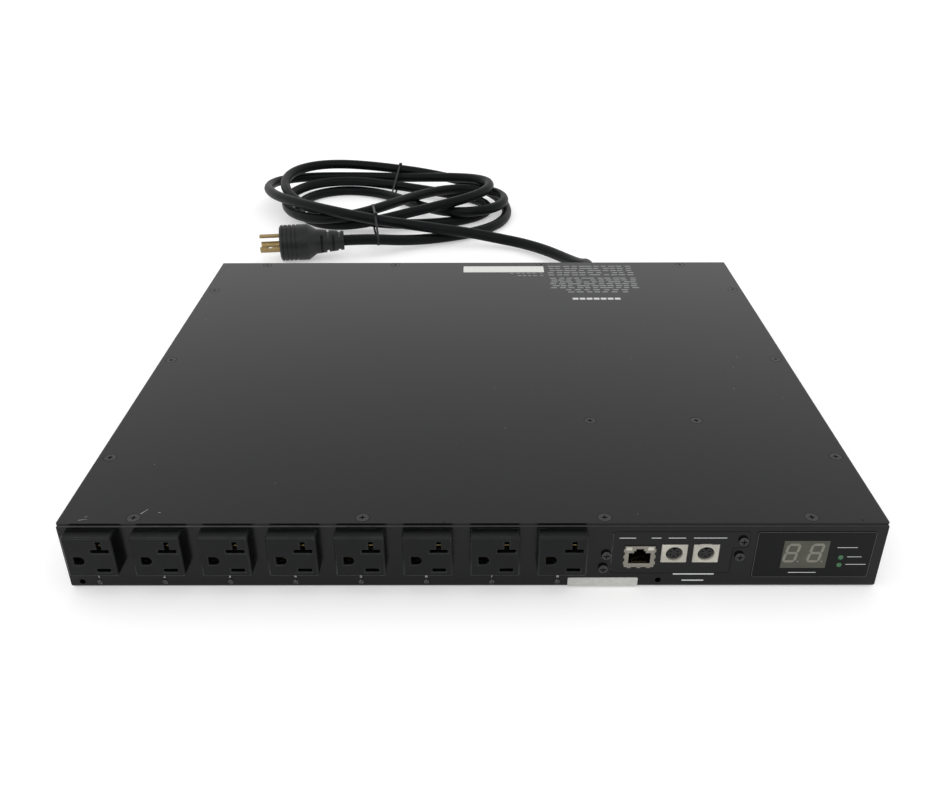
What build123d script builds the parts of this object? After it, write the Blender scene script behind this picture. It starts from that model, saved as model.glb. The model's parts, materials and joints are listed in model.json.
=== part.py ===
"""Switched power distribution unit, one rack unit high, with its line cord coiled behind it.

X runs right as seen from the front, Y runs back and Z runs up. The origin is the middle of
the case's base. All sizes are in millimetres.
"""

import os
from math import cos, radians, sin, tan

from build123d import *

os.makedirs("parts", exist_ok=True)

# Case: a folded tray under a flat cover
case_w = 444.5
case_d = 381.0
case_h = 44.0
sheet = 1.2
cover_t = 1.2
cover_inset = 0.2
cover_corner_r = 0.8
bottom_bend_r = 1.4
rim_bend_r = 0.4
rim_w = 14.0

# Flat-head cover screws
cover_thread_r = 1.7
cover_head_r = 3.6
cover_head_angle = 82
cover_screw_len = 4.2
recess_len = 3.2
recess_w = 0.8
recess_depth = 1.0
side_screw_inset = 7.4
side_screw_pitch = 127.0
side_screw_shift = 1.3
end_screw_inset = 5.3
front_screw_xs = (-182.0, -59.0, 71.0, 182.0)
rear_screw_xs = (-182.0, -69.0, 59.5, 182.0)
seat_gap = 0.05

# Tapped holes in the side walls for rack ears
ear_hole_r = 2.0
ear_front = 22.0
ear_pitch_y = 30.0
ear_pitch_z = 20.0
ear_z = 22.0

# Sockets: a block proud of the panel and a snap-in body behind it
socket_count = 8
socket_pitch = 36.1
first_socket_x = -204.4
socket_z = 27.6
face_w = 26.6
face_h = 26.0
face_proud = 8.0
face_round = 0.7
face_shell = 3.5
body_w = 24.0
body_h = 23.2
body_depth = 20.0
panel_gap = 0.15
barb_rise = 1.0
barb_len = 4.0
barb_w = 8.0

# Slots in a socket's face, measured from its middle
blade_x = 6.1
blade_mid_z = -2.6
blade_pitch = 12.7
slot_w = 7.4
slot_h = 2.2
bar_w = 9.9
stem_w = 2.6
stem_rise = 6.2
ground_x = -5.8
ground_r = 2.6
ground_flat = 3.1
lead_in = 0.4

# Contacts inside the sockets
contact_t = 0.6
contact_w = 6.0
blade_gap = 1.6
ground_gap = 5.0
lip_flare = 0.35
lip_len = 3.0
leaf_clear = 0.4
web_depth = 17.0
tail_t = 0.8
tail_past = 1.2

# Boards
board_t = 1.6
slot_clear = 0.1
outlet_board_z0 = 3.0
outlet_board_z1 = 40.4
outlet_board_left = 14.4
outlet_board_right = 24.2

# Outlet relays on the boards behind the sockets
relay_w = 12.8
relay_h = 29.2
relay_d = 15.8
relay_shift = 18.0

# Lights
light_r = 1.5
light_clear = 0.1
light_flange_r = 1.9
light_flange_t = 1.0
light_proud = 0.9
light_tip = 0.6
outlet_light_shift = -1.5
outlet_light_z = 4.3
light_board_depth = 6.5
light_board_h = 10.0
light_board_end = 8.0

# Small plain holes in the front panel
reset_hole_r = 1.65
reset_holes = ((-215.6, 4.4), (102.3, 5.2))

# Display corner
overlay_w = 64.0
overlay_h = 31.3
overlay_x = 184.9
overlay_z = 22.75
overlay_t = 0.25
overlay_corner_r = 1.5
module_w = 24.6
module_h = 18.5
module_x = 180.35
module_z = 22.9
module_recess = 0.05
module_clear = 0.1
input_light_x = 200.0
input_light_z = 18.35
input_light_pitch = 5.1
display_board_depth = 8.0
display_board_margin = 1.0
display_post_dx = 27.0
display_post_dz = 11.0

# Accessory card
card_x0 = 75.8
card_x1 = 140.7
card_ear_x1 = 149.0
card_z0 = 10.2
card_z1 = 38.2
card_step_z = 27.6
card_corner_r = 1.6
card_gap = 0.25
card_plate_t = 1.2
card_tab_w = 8.0
card_tab_len = 9.0
card_board_len = 90.0
card_board_inset = 1.6
card_hole_clear = 0.1
card_tab_dx = 22.0
chips = (
    (-14.0, 46.0, 14.0, 14.0, 1.8),
    (12.0, 44.0, 18.0, 8.0, 2.4),
    (14.0, 66.0, 10.0, 10.0, 1.6),
)
card_plug_w = 40.0
card_plug_d = 8.0
card_plug_h = 9.0
card_screw_r = 1.4
card_head_r = 2.7
card_head_t = 1.7
card_head_round = 0.6
card_screw_len = 6.0
card_plate_screw = (145.8, 32.4)
bay_front_screws = ((72.6, 23.0), (71.4, 13.8), (144.9, 22.0))

# Sheet bay and rails that the card slides in
bay_t = 1.0
bay_z0 = 8.6
bay_wall_z1 = 36.0
bay_depth = 100.0
bay_flange_w = 9.0
bay_top_flange_d = 13.0
bay_top_flange_w = 79.0
bay_window_w = 46.0
bay_window_h = 14.0
bay_screw_xs = (74.0, 141.0)
bay_screw_depth = 106.7
rail_w = 3.0
rail_h = 5.0
rail_groove = 1.6
rail_clear = 0.1
rail_short = 14.0

# Shielded network jack
jack_x = 90.7
jack_z0 = 14.7
jack_w = 16.2
jack_h = 14.2
jack_depth = 21.0
jack_proud = 0.5
jack_wall = 0.4
jack_sill = 2.6
plug_w = 11.9
plug_h = 7.0
plug_step_w = 6.4
plug_step_h = 1.4
plug_tab_w = 4.2
plug_tab_h = 1.3
plug_depth = 14.0
pin_count = 8
pin_pitch = 1.02
pin_w = 0.45
pin_t = 0.35
pin_rise = 1.8
pin_foot_depth = 1.0
pin_foot = 2.0
pin_slope = 9.0

# Round data ports
port_xs = (109.4, 126.6)
port_w = 14.0
port_z0 = 17.6
port_z1 = 29.6
port_depth = 12.5
port_proud = 0.5
port_bore_r = 4.6
port_bore_z = 23.7
port_bore_depth = 9.0
insert_r = 3.7
insert_short = 0.8
key_w = 2.2
key_h = 0.9
port_bevel = 0.4
insert_hole_ring = 2.2
insert_holes = 6
insert_hole_r = 0.45
insert_hole_depth = 2.0

# Transfer and supply board on the case's floor
transfer_w = 180.0
transfer_d = 190.0
transfer_x = -60.0
post_af = 5.5
post_h = 6.0
post_bore_r = 1.25
post_inset = 6.0
post_screw_r = 1.2
post_head_af = 5.0
post_head_t = 1.8
post_screw_len = 5.0

# Pieces that stand on the transfer board
transfer_relay_w = 27.0
transfer_relay_d = 32.0
transfer_relay_h = 26.0
transfer_relay_pitch = 38.0
transfer_relay_count = 4
transfer_relay_y = 62.0
core_leg = 16.0
core_stack = 15.0
coil_build = 6.0
coil_clear = 0.3
transformer_at = (-105.0, -50.0)
capacitor_r = 6.3
capacitor_h = 22.0
capacitor_pitch = 16.0
capacitor_at = (-45.0, -55.0)
capacitor_bevel = 0.8
sensor_r = 13.0
sensor_bore_r = 6.0
sensor_t = 11.0
sensor_at = (4.0, -52.0)

# Input terminals, conductors and bus bars
terminal_pitch = 9.5
terminal_ways = 6
terminal_d = 20.0
terminal_h = 17.0
terminal_fin_h = 3.5
terminal_fin_t = 1.4
terminal_x = 128.0
terminal_y = 122.0
wire_r = 1.7
wire_core_pitch = 3.5
wire_start = 8.0
wire_bend_r = 5.0
terminal_floor = 10.0
terminal_bore_depth = 8.0
terminal_well_r = 2.8
terminal_well_depth = 5.0
bar_t = 1.2
bar_h = 8.0
rear_bar_y = 104.0
board_bar_y = 80.0
board_bar_x = 20.0
front_bar_y = -20.0
column_x = 48.0
stud_at = (196.0, 150.0)
stud_r = 2.5
stud_h = 16.0
stud_nut_af = 8.0
stud_nut_t = 3.5

# Cable glands in the back panel
gland_xs = (108.0, 148.0)
gland_z = 22.0
gland_af = 24.0
gland_hex_t = 5.0
gland_thread_r = 9.8
gland_thread_len = 11.0
gland_neck_r = 8.6
gland_neck_len = 8.0
gland_cap_af = 22.0
gland_cap_t = 8.5
gland_nose_r = 9.5
gland_nose_bevel = 1.5
gland_cap_nose = 2.5
gland_nut_t = 5.0
gland_clear = 0.15

# Line cord
cord_r = 5.5
cord_clear = 0.2
boot_r = 8.0
boot_tip_r = 6.4
boot_len = 26.0
boot_groove_w = 2.0
boot_groove_depth = 0.9
boot_grooves = 3
cord_start = 24.0
lead_route = (
    (101.0, 281.5, 15.0),
    (84.0, 303.5, 9.0),
    (60.0, 327.0, 6.2),
    (32.0, 350.0, 8.0),
    (2.0, 363.0, 13.0),
    (-34.0, 370.0, 17.0),
    (-62.0, 381.5, 17.0),
)
tail_start = 18.0
tail_route = (
    (-93.0, 329.0, 13.0),
    (-68.0, 337.5, 7.5),
    (-42.0, 349.5, 6.0),
    (-20.0, 369.5, 8.0),
    (-4.0, 397.5, 12.0),
)

# Coil of cord on the floor behind the unit, and its ties
coil_x = -98.0
coil_y = 457.5
coil_turn = -12.0
coil_len = 278.0
coil_w = 172.0
coil_band = 56.0
coil_h = 34.0
coil_round = 11.0
tie_t = 0.8
tie_w = 3.0
tie_head = 5.0
tie_head_h = 2.6
tie_places = ((-14.0, 1), (2.0, -1))

# Locking plug at the cord's end
plug_at = (-133.0, 321.5)
plug_turn = 187.2
plug_r = 18.0
plug_bevel = 1.6
plug_grip_len = 28.0
plug_cone_len = 8.0
plug_neck_r = 12.5
plug_neck_end_r = 9.5
plug_neck_len = 28.0
groove_count = 4
groove_pitch = 4.2
groove_w = 1.5
groove_depth = 0.9
relief_count = 4
relief_pitch = 5.8
relief_w = 2.6
relief_core_r = 6.6
pin_ring_r = 8.5
pin_sheet = 1.9
pin_arc = 48
pin_out = 20.0
pin_in = 6.0
pin_notch_w = 3.0
pin_notch_h = 5.0
pin_notch_at = 8.0

front = Plane(origin=(0, -case_d / 2, 0), x_dir=(1, 0, 0), z_dir=(0, -1, 0))
rear = Plane(origin=(0, case_d / 2, 0), x_dir=(-1, 0, 0), z_dir=(0, 1, 0))
tray_h = case_h - cover_t
bottom_r = bottom_bend_r + sheet
rim_r = rim_bend_r + sheet
socket_xs = [first_socket_x + socket_pitch * i for i in range(socket_count)]
rows = {"front": (front, 1), "rear": (rear, -1)}
outlet_light_xs = [x + outlet_light_shift for x in socket_xs]
bar_z = socket_z + blade_mid_z + blade_pitch / 2
low_z = socket_z + blade_mid_z - blade_pitch / 2
ground_z = socket_z + blade_mid_z
contact_places = (
    (blade_x, bar_z, blade_gap),
    (blade_x, low_z, blade_gap),
    (ground_x, ground_z, ground_gap),
)
cover_head_t = (cover_head_r - cover_thread_r) / tan(radians(cover_head_angle / 2))
outlet_board_back = body_depth + board_t
display_back = display_board_depth + board_t
bay_x0 = card_x0 - bay_t
bay_x1 = card_x1 + card_gap + bay_t
card_board_top = jack_z0
card_board_x0 = bay_x0 + bay_t + card_board_inset
card_board_x1 = bay_x1 - bay_t - card_board_inset
plug_z0 = jack_z0 + jack_sill
transfer_top = sheet + post_h + board_t
gland_end = gland_hex_t + gland_cap_t + gland_cap_nose


def depth_y(depth):
    """Y of a place this far in from the case's front."""
    return -case_d / 2 + depth


edge_screws = [
    (side * (case_w / 2 - side_screw_inset), side_screw_shift + step * side_screw_pitch)
    for side in (-1, 1)
    for step in (-1, 0, 1)
]
edge_screws += [(x, depth_y(end_screw_inset)) for x in front_screw_xs]
edge_screws += [(x, -depth_y(end_screw_inset)) for x in rear_screw_xs]
bay_screws = [(x, depth_y(bay_screw_depth)) for x in bay_screw_xs]


def finish(part, name):
    """Label a piece and write it under its node's name."""
    part.part.label = name
    export_step(part.part, f"parts/{name}.step")


def row_xs(side):
    """Socket middles along a panel, from the left of someone who faces that panel."""
    return [side * x for x in socket_xs][::side]


def card_outline(grow):
    """Outline of the accessory card's face plate, grown for the hole that it fills."""
    with BuildSketch(front) as outline:
        with Locations((card_x0, card_z0)):
            Rectangle(card_x1 - card_x0, card_z1 - card_z0, align=(Align.MIN, Align.MIN))
        with Locations((card_x0, card_step_z)):
            ear_h = card_z1 - card_step_z
            Rectangle(card_ear_x1 - card_x0, ear_h, align=(Align.MIN, Align.MIN))
        fillet(outline.vertices(), card_corner_r)
        if grow:
            offset(amount=grow)
    return outline.sketch


def plug_outline(plane):
    """Window of the network jack: the plug's body with its stepped latch above."""
    with BuildSketch(plane) as outline:
        with Locations((jack_x, plug_z0)):
            Rectangle(plug_w, plug_h, align=(Align.CENTER, Align.MIN))
            step_top = plug_h + plug_step_h
            Rectangle(plug_step_w, step_top, align=(Align.CENTER, Align.MIN))
            Rectangle(plug_tab_w, step_top + plug_tab_h, align=(Align.CENTER, Align.MIN))
    return outline.sketch


def contact_profile(panel, x, z, gap):
    """Side view of a spring contact: flared leaves, the web behind them and the tail."""
    side_view = Plane(
        origin=panel.from_local_coords((x, z, 0)), x_dir=-panel.z_dir, z_dir=panel.x_dir
    )
    start = leaf_clear - face_proud + face_shell
    inner = gap / 2
    outer = inner + contact_t
    tail_len = outlet_board_back + tail_past - web_depth
    with BuildSketch(side_view) as profile:
        with BuildLine():
            Polyline(
                (start, inner + lip_flare),
                (start + lip_len, inner),
                (web_depth, inner),
                (web_depth, outer),
                (start + lip_len, outer),
                (start, outer + lip_flare),
                close=True,
            )
        make_face()
        mirror(about=Plane.XZ)
        with Locations((web_depth, 0)):
            Rectangle(contact_t, 2 * outer, align=(Align.MIN, Align.CENTER))
            Rectangle(tail_len, tail_t, align=(Align.MIN, Align.CENTER))
    return profile.sketch


def socket_housing(panel, x):
    """One socket: raised block, snap-in body with its barbs, slots and contact chambers."""
    outward = Axis((0, 0, 0), panel.z_dir)
    with BuildPart() as housing:
        with BuildSketch(panel):
            with Locations((x, socket_z)):
                Rectangle(face_w, face_h)
        extrude(amount=face_proud)
        block_edges = housing.edges().filter_by(Axis.Y)
        block_edges += housing.faces().sort_by(outward)[-1].edges()
        chamfer(block_edges, face_round)
        with BuildSketch(panel):
            with Locations((x, socket_z)):
                Rectangle(body_w, body_h)
        extrude(amount=-body_depth)

        barb_at = panel.from_local_coords((x, socket_z - barb_w / 2, 0))
        barb_start = sheet + panel_gap
        with BuildSketch(Plane(origin=barb_at, x_dir=panel.x_dir, z_dir=(0, 0, 1))):
            with BuildLine():
                Polyline(
                    (body_w / 2, barb_start),
                    (body_w / 2 + barb_rise, barb_start),
                    (body_w / 2, barb_start + barb_len),
                    close=True,
                )
            make_face()
            mirror(about=Plane.YZ)
        extrude(amount=barb_w)

        with BuildSketch(panel.offset(face_proud)):
            with Locations((x + blade_x, bar_z)):
                Rectangle(bar_w, slot_h)
                Rectangle(stem_w, stem_rise, align=(Align.CENTER, Align.MIN))
            with Locations((x + blade_x, low_z)):
                Rectangle(slot_w, slot_h)
            with Locations((x + ground_x, ground_z)):
                Circle(ground_r)
                Rectangle(ground_flat, 2 * ground_r, align=(Align.MAX, Align.CENTER))
        extrude(amount=-face_shell, mode=Mode.SUBTRACT)
        mouths = housing.faces().sort_by(outward)[-1].inner_wires().edges()
        chamfer(mouths, lead_in)

        blade_room = blade_gap + 2 * (contact_t + leaf_clear)
        ground_room = ground_gap + 2 * (contact_t + leaf_clear)
        with BuildSketch(panel.offset(-body_depth)):
            with Locations((x + blade_x, bar_z)):
                Rectangle(bar_w, blade_room)
                Rectangle(stem_w, stem_rise, align=(Align.CENTER, Align.MIN))
            with Locations((x + blade_x, low_z)):
                Rectangle(slot_w, blade_room)
            with Locations((x + ground_x, ground_z)):
                Rectangle(contact_w + 2 * slot_clear, ground_room)
        extrude(amount=body_depth + face_proud - face_shell, mode=Mode.SUBTRACT)
    return housing


def light_body(panel, x, z, seat_depth):
    """Small round light from its board out through the panel, with a bevelled tip."""
    with BuildSketch(panel.offset(-seat_depth)) as base:
        with Locations((x, z)):
            Circle(light_flange_r)
    extrude(base.sketch, amount=light_flange_t)
    with BuildSketch(panel.offset(-seat_depth)) as stem:
        with Locations((x, z)):
            Circle(light_r)
    extrude(stem.sketch, amount=seat_depth + light_proud)


# Tray: bent-up walls with a rim turned in under the cover
with BuildPart() as tray_space:
    with BuildSketch(Plane.XY.offset(sheet)):
        Rectangle(case_w - 2 * sheet, case_d - 2 * sheet)
    extrude(amount=tray_h - 2 * sheet)
    fillet(tray_space.faces().sort_by(Axis.Z)[0].edges(), bottom_bend_r)
    fillet(tray_space.faces().sort_by(Axis.Z)[-1].edges(), rim_bend_r)

with BuildPart() as chassis_tray:
    with BuildSketch():
        Rectangle(case_w, case_d)
    extrude(amount=tray_h)
    fillet(chassis_tray.faces().sort_by(Axis.Z)[0].edges(), bottom_r)
    fillet(chassis_tray.faces().sort_by(Axis.Z)[-1].edges(), rim_r)
    add(tray_space.part, mode=Mode.SUBTRACT)
    with BuildSketch(Plane.XY.offset(tray_h)):
        Rectangle(case_w - 2 * rim_w, case_d - 2 * rim_w)
    extrude(amount=-sheet, mode=Mode.SUBTRACT)

    for panel, side in rows.values():
        with BuildSketch(panel):
            with Locations([(x, socket_z) for x in row_xs(side)]):
                Rectangle(body_w + 2 * panel_gap, body_h + 2 * panel_gap)
        extrude(amount=-sheet, mode=Mode.SUBTRACT)

    extrude(card_outline(card_gap), amount=-sheet, mode=Mode.SUBTRACT)
    with BuildSketch(front):
        with Locations([(x, outlet_light_z) for x in outlet_light_xs]):
            Circle(light_r + light_clear)
        with Locations(*reset_holes):
            Circle(reset_hole_r)
        with Locations(*bay_front_screws):
            Circle(card_screw_r + seat_gap)
        with Locations((module_x, module_z)):
            Rectangle(module_w + 2 * module_clear, module_h + 2 * module_clear)
        with Locations((input_light_x, input_light_z)):
            with GridLocations(0, input_light_pitch, 1, 2):
                Circle(light_r + light_clear)
    extrude(amount=-sheet, mode=Mode.SUBTRACT)

    with BuildSketch(rear):
        with Locations([(-x, gland_z) for x in gland_xs]):
            Circle(gland_thread_r + gland_clear)
    extrude(amount=-sheet, mode=Mode.SUBTRACT)

    with BuildSketch(Plane.YZ.offset(-case_w / 2)):
        with Locations((depth_y(ear_front + ear_pitch_y / 2), ear_z)):
            with GridLocations(ear_pitch_y, ear_pitch_z, 2, 2):
                Circle(ear_hole_r)
    extrude(amount=case_w, mode=Mode.SUBTRACT)

    with Locations([(x, y, case_h) for x, y in edge_screws]):
        CounterSinkHole(
            cover_thread_r + seat_gap,
            cover_head_r,
            depth=cover_t + sheet,
            counter_sink_angle=cover_head_angle,
        )
finish(chassis_tray, "chassis_tray")

# Cover: flat sheet flush with the tray, its screws sunk in it
with BuildPart() as top_cover:
    with BuildSketch(Plane.XY.offset(tray_h)) as cover_sheet:
        Rectangle(case_w - 2 * cover_inset, case_d - 2 * cover_inset)
        fillet(cover_sheet.vertices(), cover_corner_r)
    extrude(amount=cover_t)
    with Locations([(x, y, case_h) for x, y in edge_screws + bay_screws]):
        CounterSinkHole(
            cover_thread_r + seat_gap,
            cover_head_r,
            depth=2 * cover_t,
            counter_sink_angle=cover_head_angle,
        )
finish(top_cover, "top_cover")

with BuildPart() as cover_screws:
    with Locations([(x, y, case_h) for x, y in edge_screws + bay_screws]):
        Cylinder(
            cover_thread_r, cover_screw_len, align=(Align.CENTER, Align.CENTER, Align.MAX)
        )
        Cone(
            cover_thread_r,
            cover_head_r - seat_gap,
            cover_head_t,
            align=(Align.CENTER, Align.CENTER, Align.MAX),
        )
    with BuildSketch(Plane.XY.offset(case_h)):
        with Locations(*edge_screws, *bay_screws):
            Rectangle(recess_len, recess_w)
            Rectangle(recess_w, recess_len)
    extrude(amount=-recess_depth, mode=Mode.SUBTRACT)
finish(cover_screws, "cover_screws")

# Sockets, front and back, each with three spring contacts
for row, (panel, side) in rows.items():
    for number, x in enumerate(row_xs(side), 1):
        finish(socket_housing(panel, x), f"{row}_socket_{number}")

with BuildPart() as socket_contacts:
    for panel, side in rows.values():
        for x in row_xs(side):
            for dx, z, gap in contact_places:
                profile = contact_profile(panel, x + dx, z, gap)
                extrude(profile, amount=contact_w / 2, both=True)
finish(socket_contacts, "socket_contacts")

# Upright board behind each row, soldered to the contacts' tails, and its relays
board_x0 = socket_xs[0] - outlet_board_left
board_x1 = socket_xs[-1] + outlet_board_right
with BuildPart() as outlet_boards:
    for panel, side in rows.values():
        with BuildSketch(panel.offset(-body_depth)):
            with Locations((side * (board_x0 + board_x1) / 2, outlet_board_z0)):
                board_h = outlet_board_z1 - outlet_board_z0
                Rectangle(board_x1 - board_x0, board_h, align=(Align.CENTER, Align.MIN))
            for dx, z, gap in contact_places:
                with Locations([(x + dx, z) for x in row_xs(side)]):
                    Rectangle(
                        contact_w + 2 * slot_clear,
                        tail_t + 2 * slot_clear,
                        mode=Mode.SUBTRACT,
                    )
        extrude(amount=-board_t)
finish(outlet_boards, "outlet_boards")

with BuildPart() as outlet_relays:
    for panel, side in rows.values():
        relay_z = (outlet_board_z0 + outlet_board_z1) / 2
        with BuildSketch(panel.offset(-outlet_board_back)):
            with Locations([(side * (x + relay_shift), relay_z) for x in socket_xs]):
                Rectangle(relay_w, relay_h)
        extrude(amount=-relay_d)
finish(outlet_relays, "outlet_relays")

# Lights under the sockets and the strip board that carries them
with BuildPart() as outlet_lights:
    for x in outlet_light_xs:
        light_body(front, x, outlet_light_z, light_board_depth)
    chamfer(outlet_lights.faces().group_by(Axis.Y)[0].edges(), light_tip)
finish(outlet_lights, "outlet_lights")

with BuildPart() as light_board:
    with BuildSketch(front.offset(-light_board_depth)):
        with Locations(((outlet_light_xs[0] + outlet_light_xs[-1]) / 2, sheet)):
            strip_w = outlet_light_xs[-1] - outlet_light_xs[0] + 2 * light_board_end
            Rectangle(strip_w, light_board_h, align=(Align.CENTER, Align.MIN))
    extrude(amount=-board_t)
finish(light_board, "light_board")

# Display corner: film, segment display, input lights and their board
with BuildPart() as display_overlay:
    with BuildSketch(front) as film:
        with Locations((overlay_x, overlay_z)):
            Rectangle(overlay_w, overlay_h)
        fillet(film.vertices(), overlay_corner_r)
        with Locations((module_x, module_z)):
            Rectangle(
                module_w + 2 * module_clear, module_h + 2 * module_clear, mode=Mode.SUBTRACT
            )
        with Locations((input_light_x, input_light_z)):
            with GridLocations(0, input_light_pitch, 1, 2):
                Circle(light_r + light_clear, mode=Mode.SUBTRACT)
    extrude(amount=overlay_t)
finish(display_overlay, "display_overlay")

with BuildPart() as display_module:
    with BuildSketch(front.offset(overlay_t - module_recess)):
        with Locations((module_x, module_z)):
            Rectangle(module_w, module_h)
    extrude(amount=-(display_board_depth + overlay_t - module_recess))
finish(display_module, "display_module")

with BuildPart() as input_lights:
    for step in (-1, 1):
        z = input_light_z + step * input_light_pitch / 2
        light_body(front, input_light_x, z, display_board_depth)
    chamfer(input_lights.faces().group_by(Axis.Y)[0].edges(), light_tip)
finish(input_lights, "input_lights")

with BuildPart() as display_board:
    with BuildSketch(front.offset(-display_board_depth)):
        with Locations((overlay_x, overlay_z)):
            Rectangle(overlay_w - 2 * display_board_margin, overlay_h - 2 * display_board_margin)
            with GridLocations(2 * display_post_dx, 2 * display_post_dz, 2, 2):
                Circle(post_screw_r + seat_gap, mode=Mode.SUBTRACT)
    extrude(amount=-board_t)
finish(display_board, "display_board")


def hexagon(across_flats):
    """Hexagon with a flat-to-flat size, for nuts, spacers and glands."""
    RegularPolygon(across_flats / 2, 6, major_radius=False)


def bend_radii(points):
    """Radius of the arc at each corner of a cord's route."""
    radii = []
    for a, b, c in zip(points, points[1:], points[2:]):
        before = Vector(b) - Vector(a)
        after = Vector(c) - Vector(b)
        turn = radians(before.get_angle(after))
        radii.append(0.45 * min(before.length, after.length) / tan(turn / 2))
    return radii


def cord_run(points):
    """Tube of cord along straight runs joined by arcs."""
    radii = bend_radii(points)
    print("cord bends", [round(radius, 1) for radius in radii])
    with BuildPart() as tube:
        with BuildLine() as route:
            FilletPolyline(*points, radius=radii)
        with BuildSketch(Plane(origin=points[0], z_dir=Vector(points[1]) - Vector(points[0]))):
            Circle(cord_r)
        sweep()
    print("cord run", round(sum(edge.length for edge in route.edges()), 1), "mm")
    return tube


# Accessory card: face plate with folded tabs, screws, board
with BuildPart() as card_faceplate:
    extrude(card_outline(0), amount=-card_plate_t)
    with BuildSketch(front):
        with Locations((jack_x, jack_z0 + jack_h / 2)):
            Rectangle(jack_w + 2 * card_hole_clear, jack_h + 2 * card_hole_clear)
        with Locations([(x, (port_z0 + port_z1) / 2) for x in port_xs]):
            Rectangle(port_w + 2 * card_hole_clear, port_z1 - port_z0 + 2 * card_hole_clear)
        with Locations(card_plate_screw):
            Circle(card_screw_r + seat_gap)
    extrude(amount=-card_plate_t, mode=Mode.SUBTRACT)
    tab_x = (card_board_x0 + card_board_x1) / 2
    with BuildSketch(Plane.XY.offset(card_board_top - board_t)):
        with Locations([(tab_x + side * card_tab_dx, depth_y(card_plate_t)) for side in (-1, 1)]):
            Rectangle(card_tab_w, card_tab_len, align=(Align.CENTER, Align.MIN))
    extrude(amount=-card_plate_t)
finish(card_faceplate, "card_faceplate")

with BuildPart() as card_screws:
    heads = (card_plate_screw, *bay_front_screws)
    with BuildSketch(front):
        with Locations(*heads):
            Circle(card_head_r)
    extrude(amount=card_head_t)
    fillet(card_screws.faces().group_by(Axis.Y)[0].edges(), card_head_round)
    with BuildSketch(front):
        with Locations(*heads):
            Circle(card_screw_r)
    extrude(amount=-card_screw_len)
    with BuildSketch(front.offset(card_head_t)):
        with Locations(*heads):
            Rectangle(recess_len, recess_w)
            Rectangle(recess_w, recess_len)
    extrude(amount=-recess_depth, mode=Mode.SUBTRACT)
finish(card_screws, "card_screws")

card_mid_x = (card_board_x0 + card_board_x1) / 2
board_front_y = depth_y(card_plate_t)
with BuildPart() as card_board:
    with BuildSketch(Plane.XY.offset(card_board_top - board_t)):
        with Locations((card_mid_x, board_front_y)):
            Rectangle(
                card_board_x1 - card_board_x0, card_board_len, align=(Align.CENTER, Align.MIN)
            )
    extrude(amount=board_t)
    for dx, depth, chip_w, chip_d, chip_h in chips:
        with BuildSketch(Plane.XY.offset(card_board_top)):
            with Locations((card_mid_x + dx, depth_y(depth))):
                Rectangle(chip_w, chip_d)
        extrude(amount=chip_h)
    with BuildSketch(Plane.XY.offset(card_board_top)):
        with Locations((card_mid_x, board_front_y + card_board_len)):
            Rectangle(card_plug_w, card_plug_d, align=(Align.CENTER, Align.MAX))
    extrude(amount=card_plug_h)
finish(card_board, "card_board")

# Network jack: shield with the plug's outline cut in it, insert, sloping contacts
with BuildPart() as network_jack:
    with BuildSketch(front.offset(jack_proud)):
        with Locations((jack_x, jack_z0 + jack_h / 2)):
            Rectangle(jack_w, jack_h)
    extrude(amount=-jack_depth)
    with BuildSketch(front.offset(jack_proud - jack_wall)):
        with Locations((jack_x, jack_z0 + jack_h / 2)):
            Rectangle(jack_w - 2 * jack_wall, jack_h - 2 * jack_wall)
    extrude(amount=-(jack_depth - 2 * jack_wall), mode=Mode.SUBTRACT)
    extrude(plug_outline(front.offset(jack_proud)), amount=-jack_wall, mode=Mode.SUBTRACT)
finish(network_jack, "network_jack")

with BuildPart() as network_jack_insert:
    with BuildSketch(front.offset(jack_proud - jack_wall)):
        with Locations((jack_x, jack_z0 + jack_h / 2)):
            Rectangle(jack_w - 2 * jack_wall, jack_h - 2 * jack_wall)
    extrude(amount=-(jack_depth - 2 * jack_wall))
    cavity = plug_outline(front.offset(jack_proud - jack_wall))
    extrude(cavity, amount=-plug_depth, mode=Mode.SUBTRACT)
finish(network_jack_insert, "network_jack_insert")

with BuildPart() as network_jack_contacts:
    pin_x0 = jack_x - pin_pitch * (pin_count - 1) / 2
    pin_y0 = depth_y(pin_foot_depth)
    for i in range(pin_count):
        with BuildSketch(Plane.YZ.offset(pin_x0 + pin_pitch * i)):
            with BuildLine():
                Polyline(
                    (pin_y0, plug_z0),
                    (pin_y0 + pin_foot, plug_z0),
                    (pin_y0 + pin_foot + pin_slope, plug_z0 + pin_rise),
                    (pin_y0 + pin_foot + pin_slope, plug_z0 + pin_rise + pin_t),
                    (pin_y0 + pin_foot, plug_z0 + pin_t),
                    (pin_y0, plug_z0 + pin_t),
                    close=True,
                )
            make_face()
        extrude(amount=pin_w / 2, both=True)
finish(network_jack_contacts, "network_jack_contacts")

# Round data ports: metal block on the card's board with a dark insert in its bore
for port_x, port_name in zip(port_xs, ("config_port", "sensor_port")):
    with BuildPart() as port:
        with BuildSketch(front.offset(port_proud)):
            with Locations((port_x, (port_z0 + port_z1) / 2)):
                Rectangle(port_w, port_z1 - port_z0)
        extrude(amount=-(port_depth + port_proud))
        chamfer(port.faces().sort_by(Axis.Y)[0].edges(), port_bevel)
        with BuildSketch(front.offset(-card_plate_t)):
            with Locations((port_x, port_z0)):
                foot_h = port_z0 - card_board_top
                Rectangle(port_w, foot_h, align=(Align.CENTER, Align.MAX))
        extrude(amount=-(port_depth - card_plate_t))
        with BuildSketch(front.offset(port_proud)):
            with Locations((port_x, port_bore_z)):
                Circle(port_bore_r)
        extrude(amount=-port_bore_depth, mode=Mode.SUBTRACT)
    finish(port, port_name)

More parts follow.
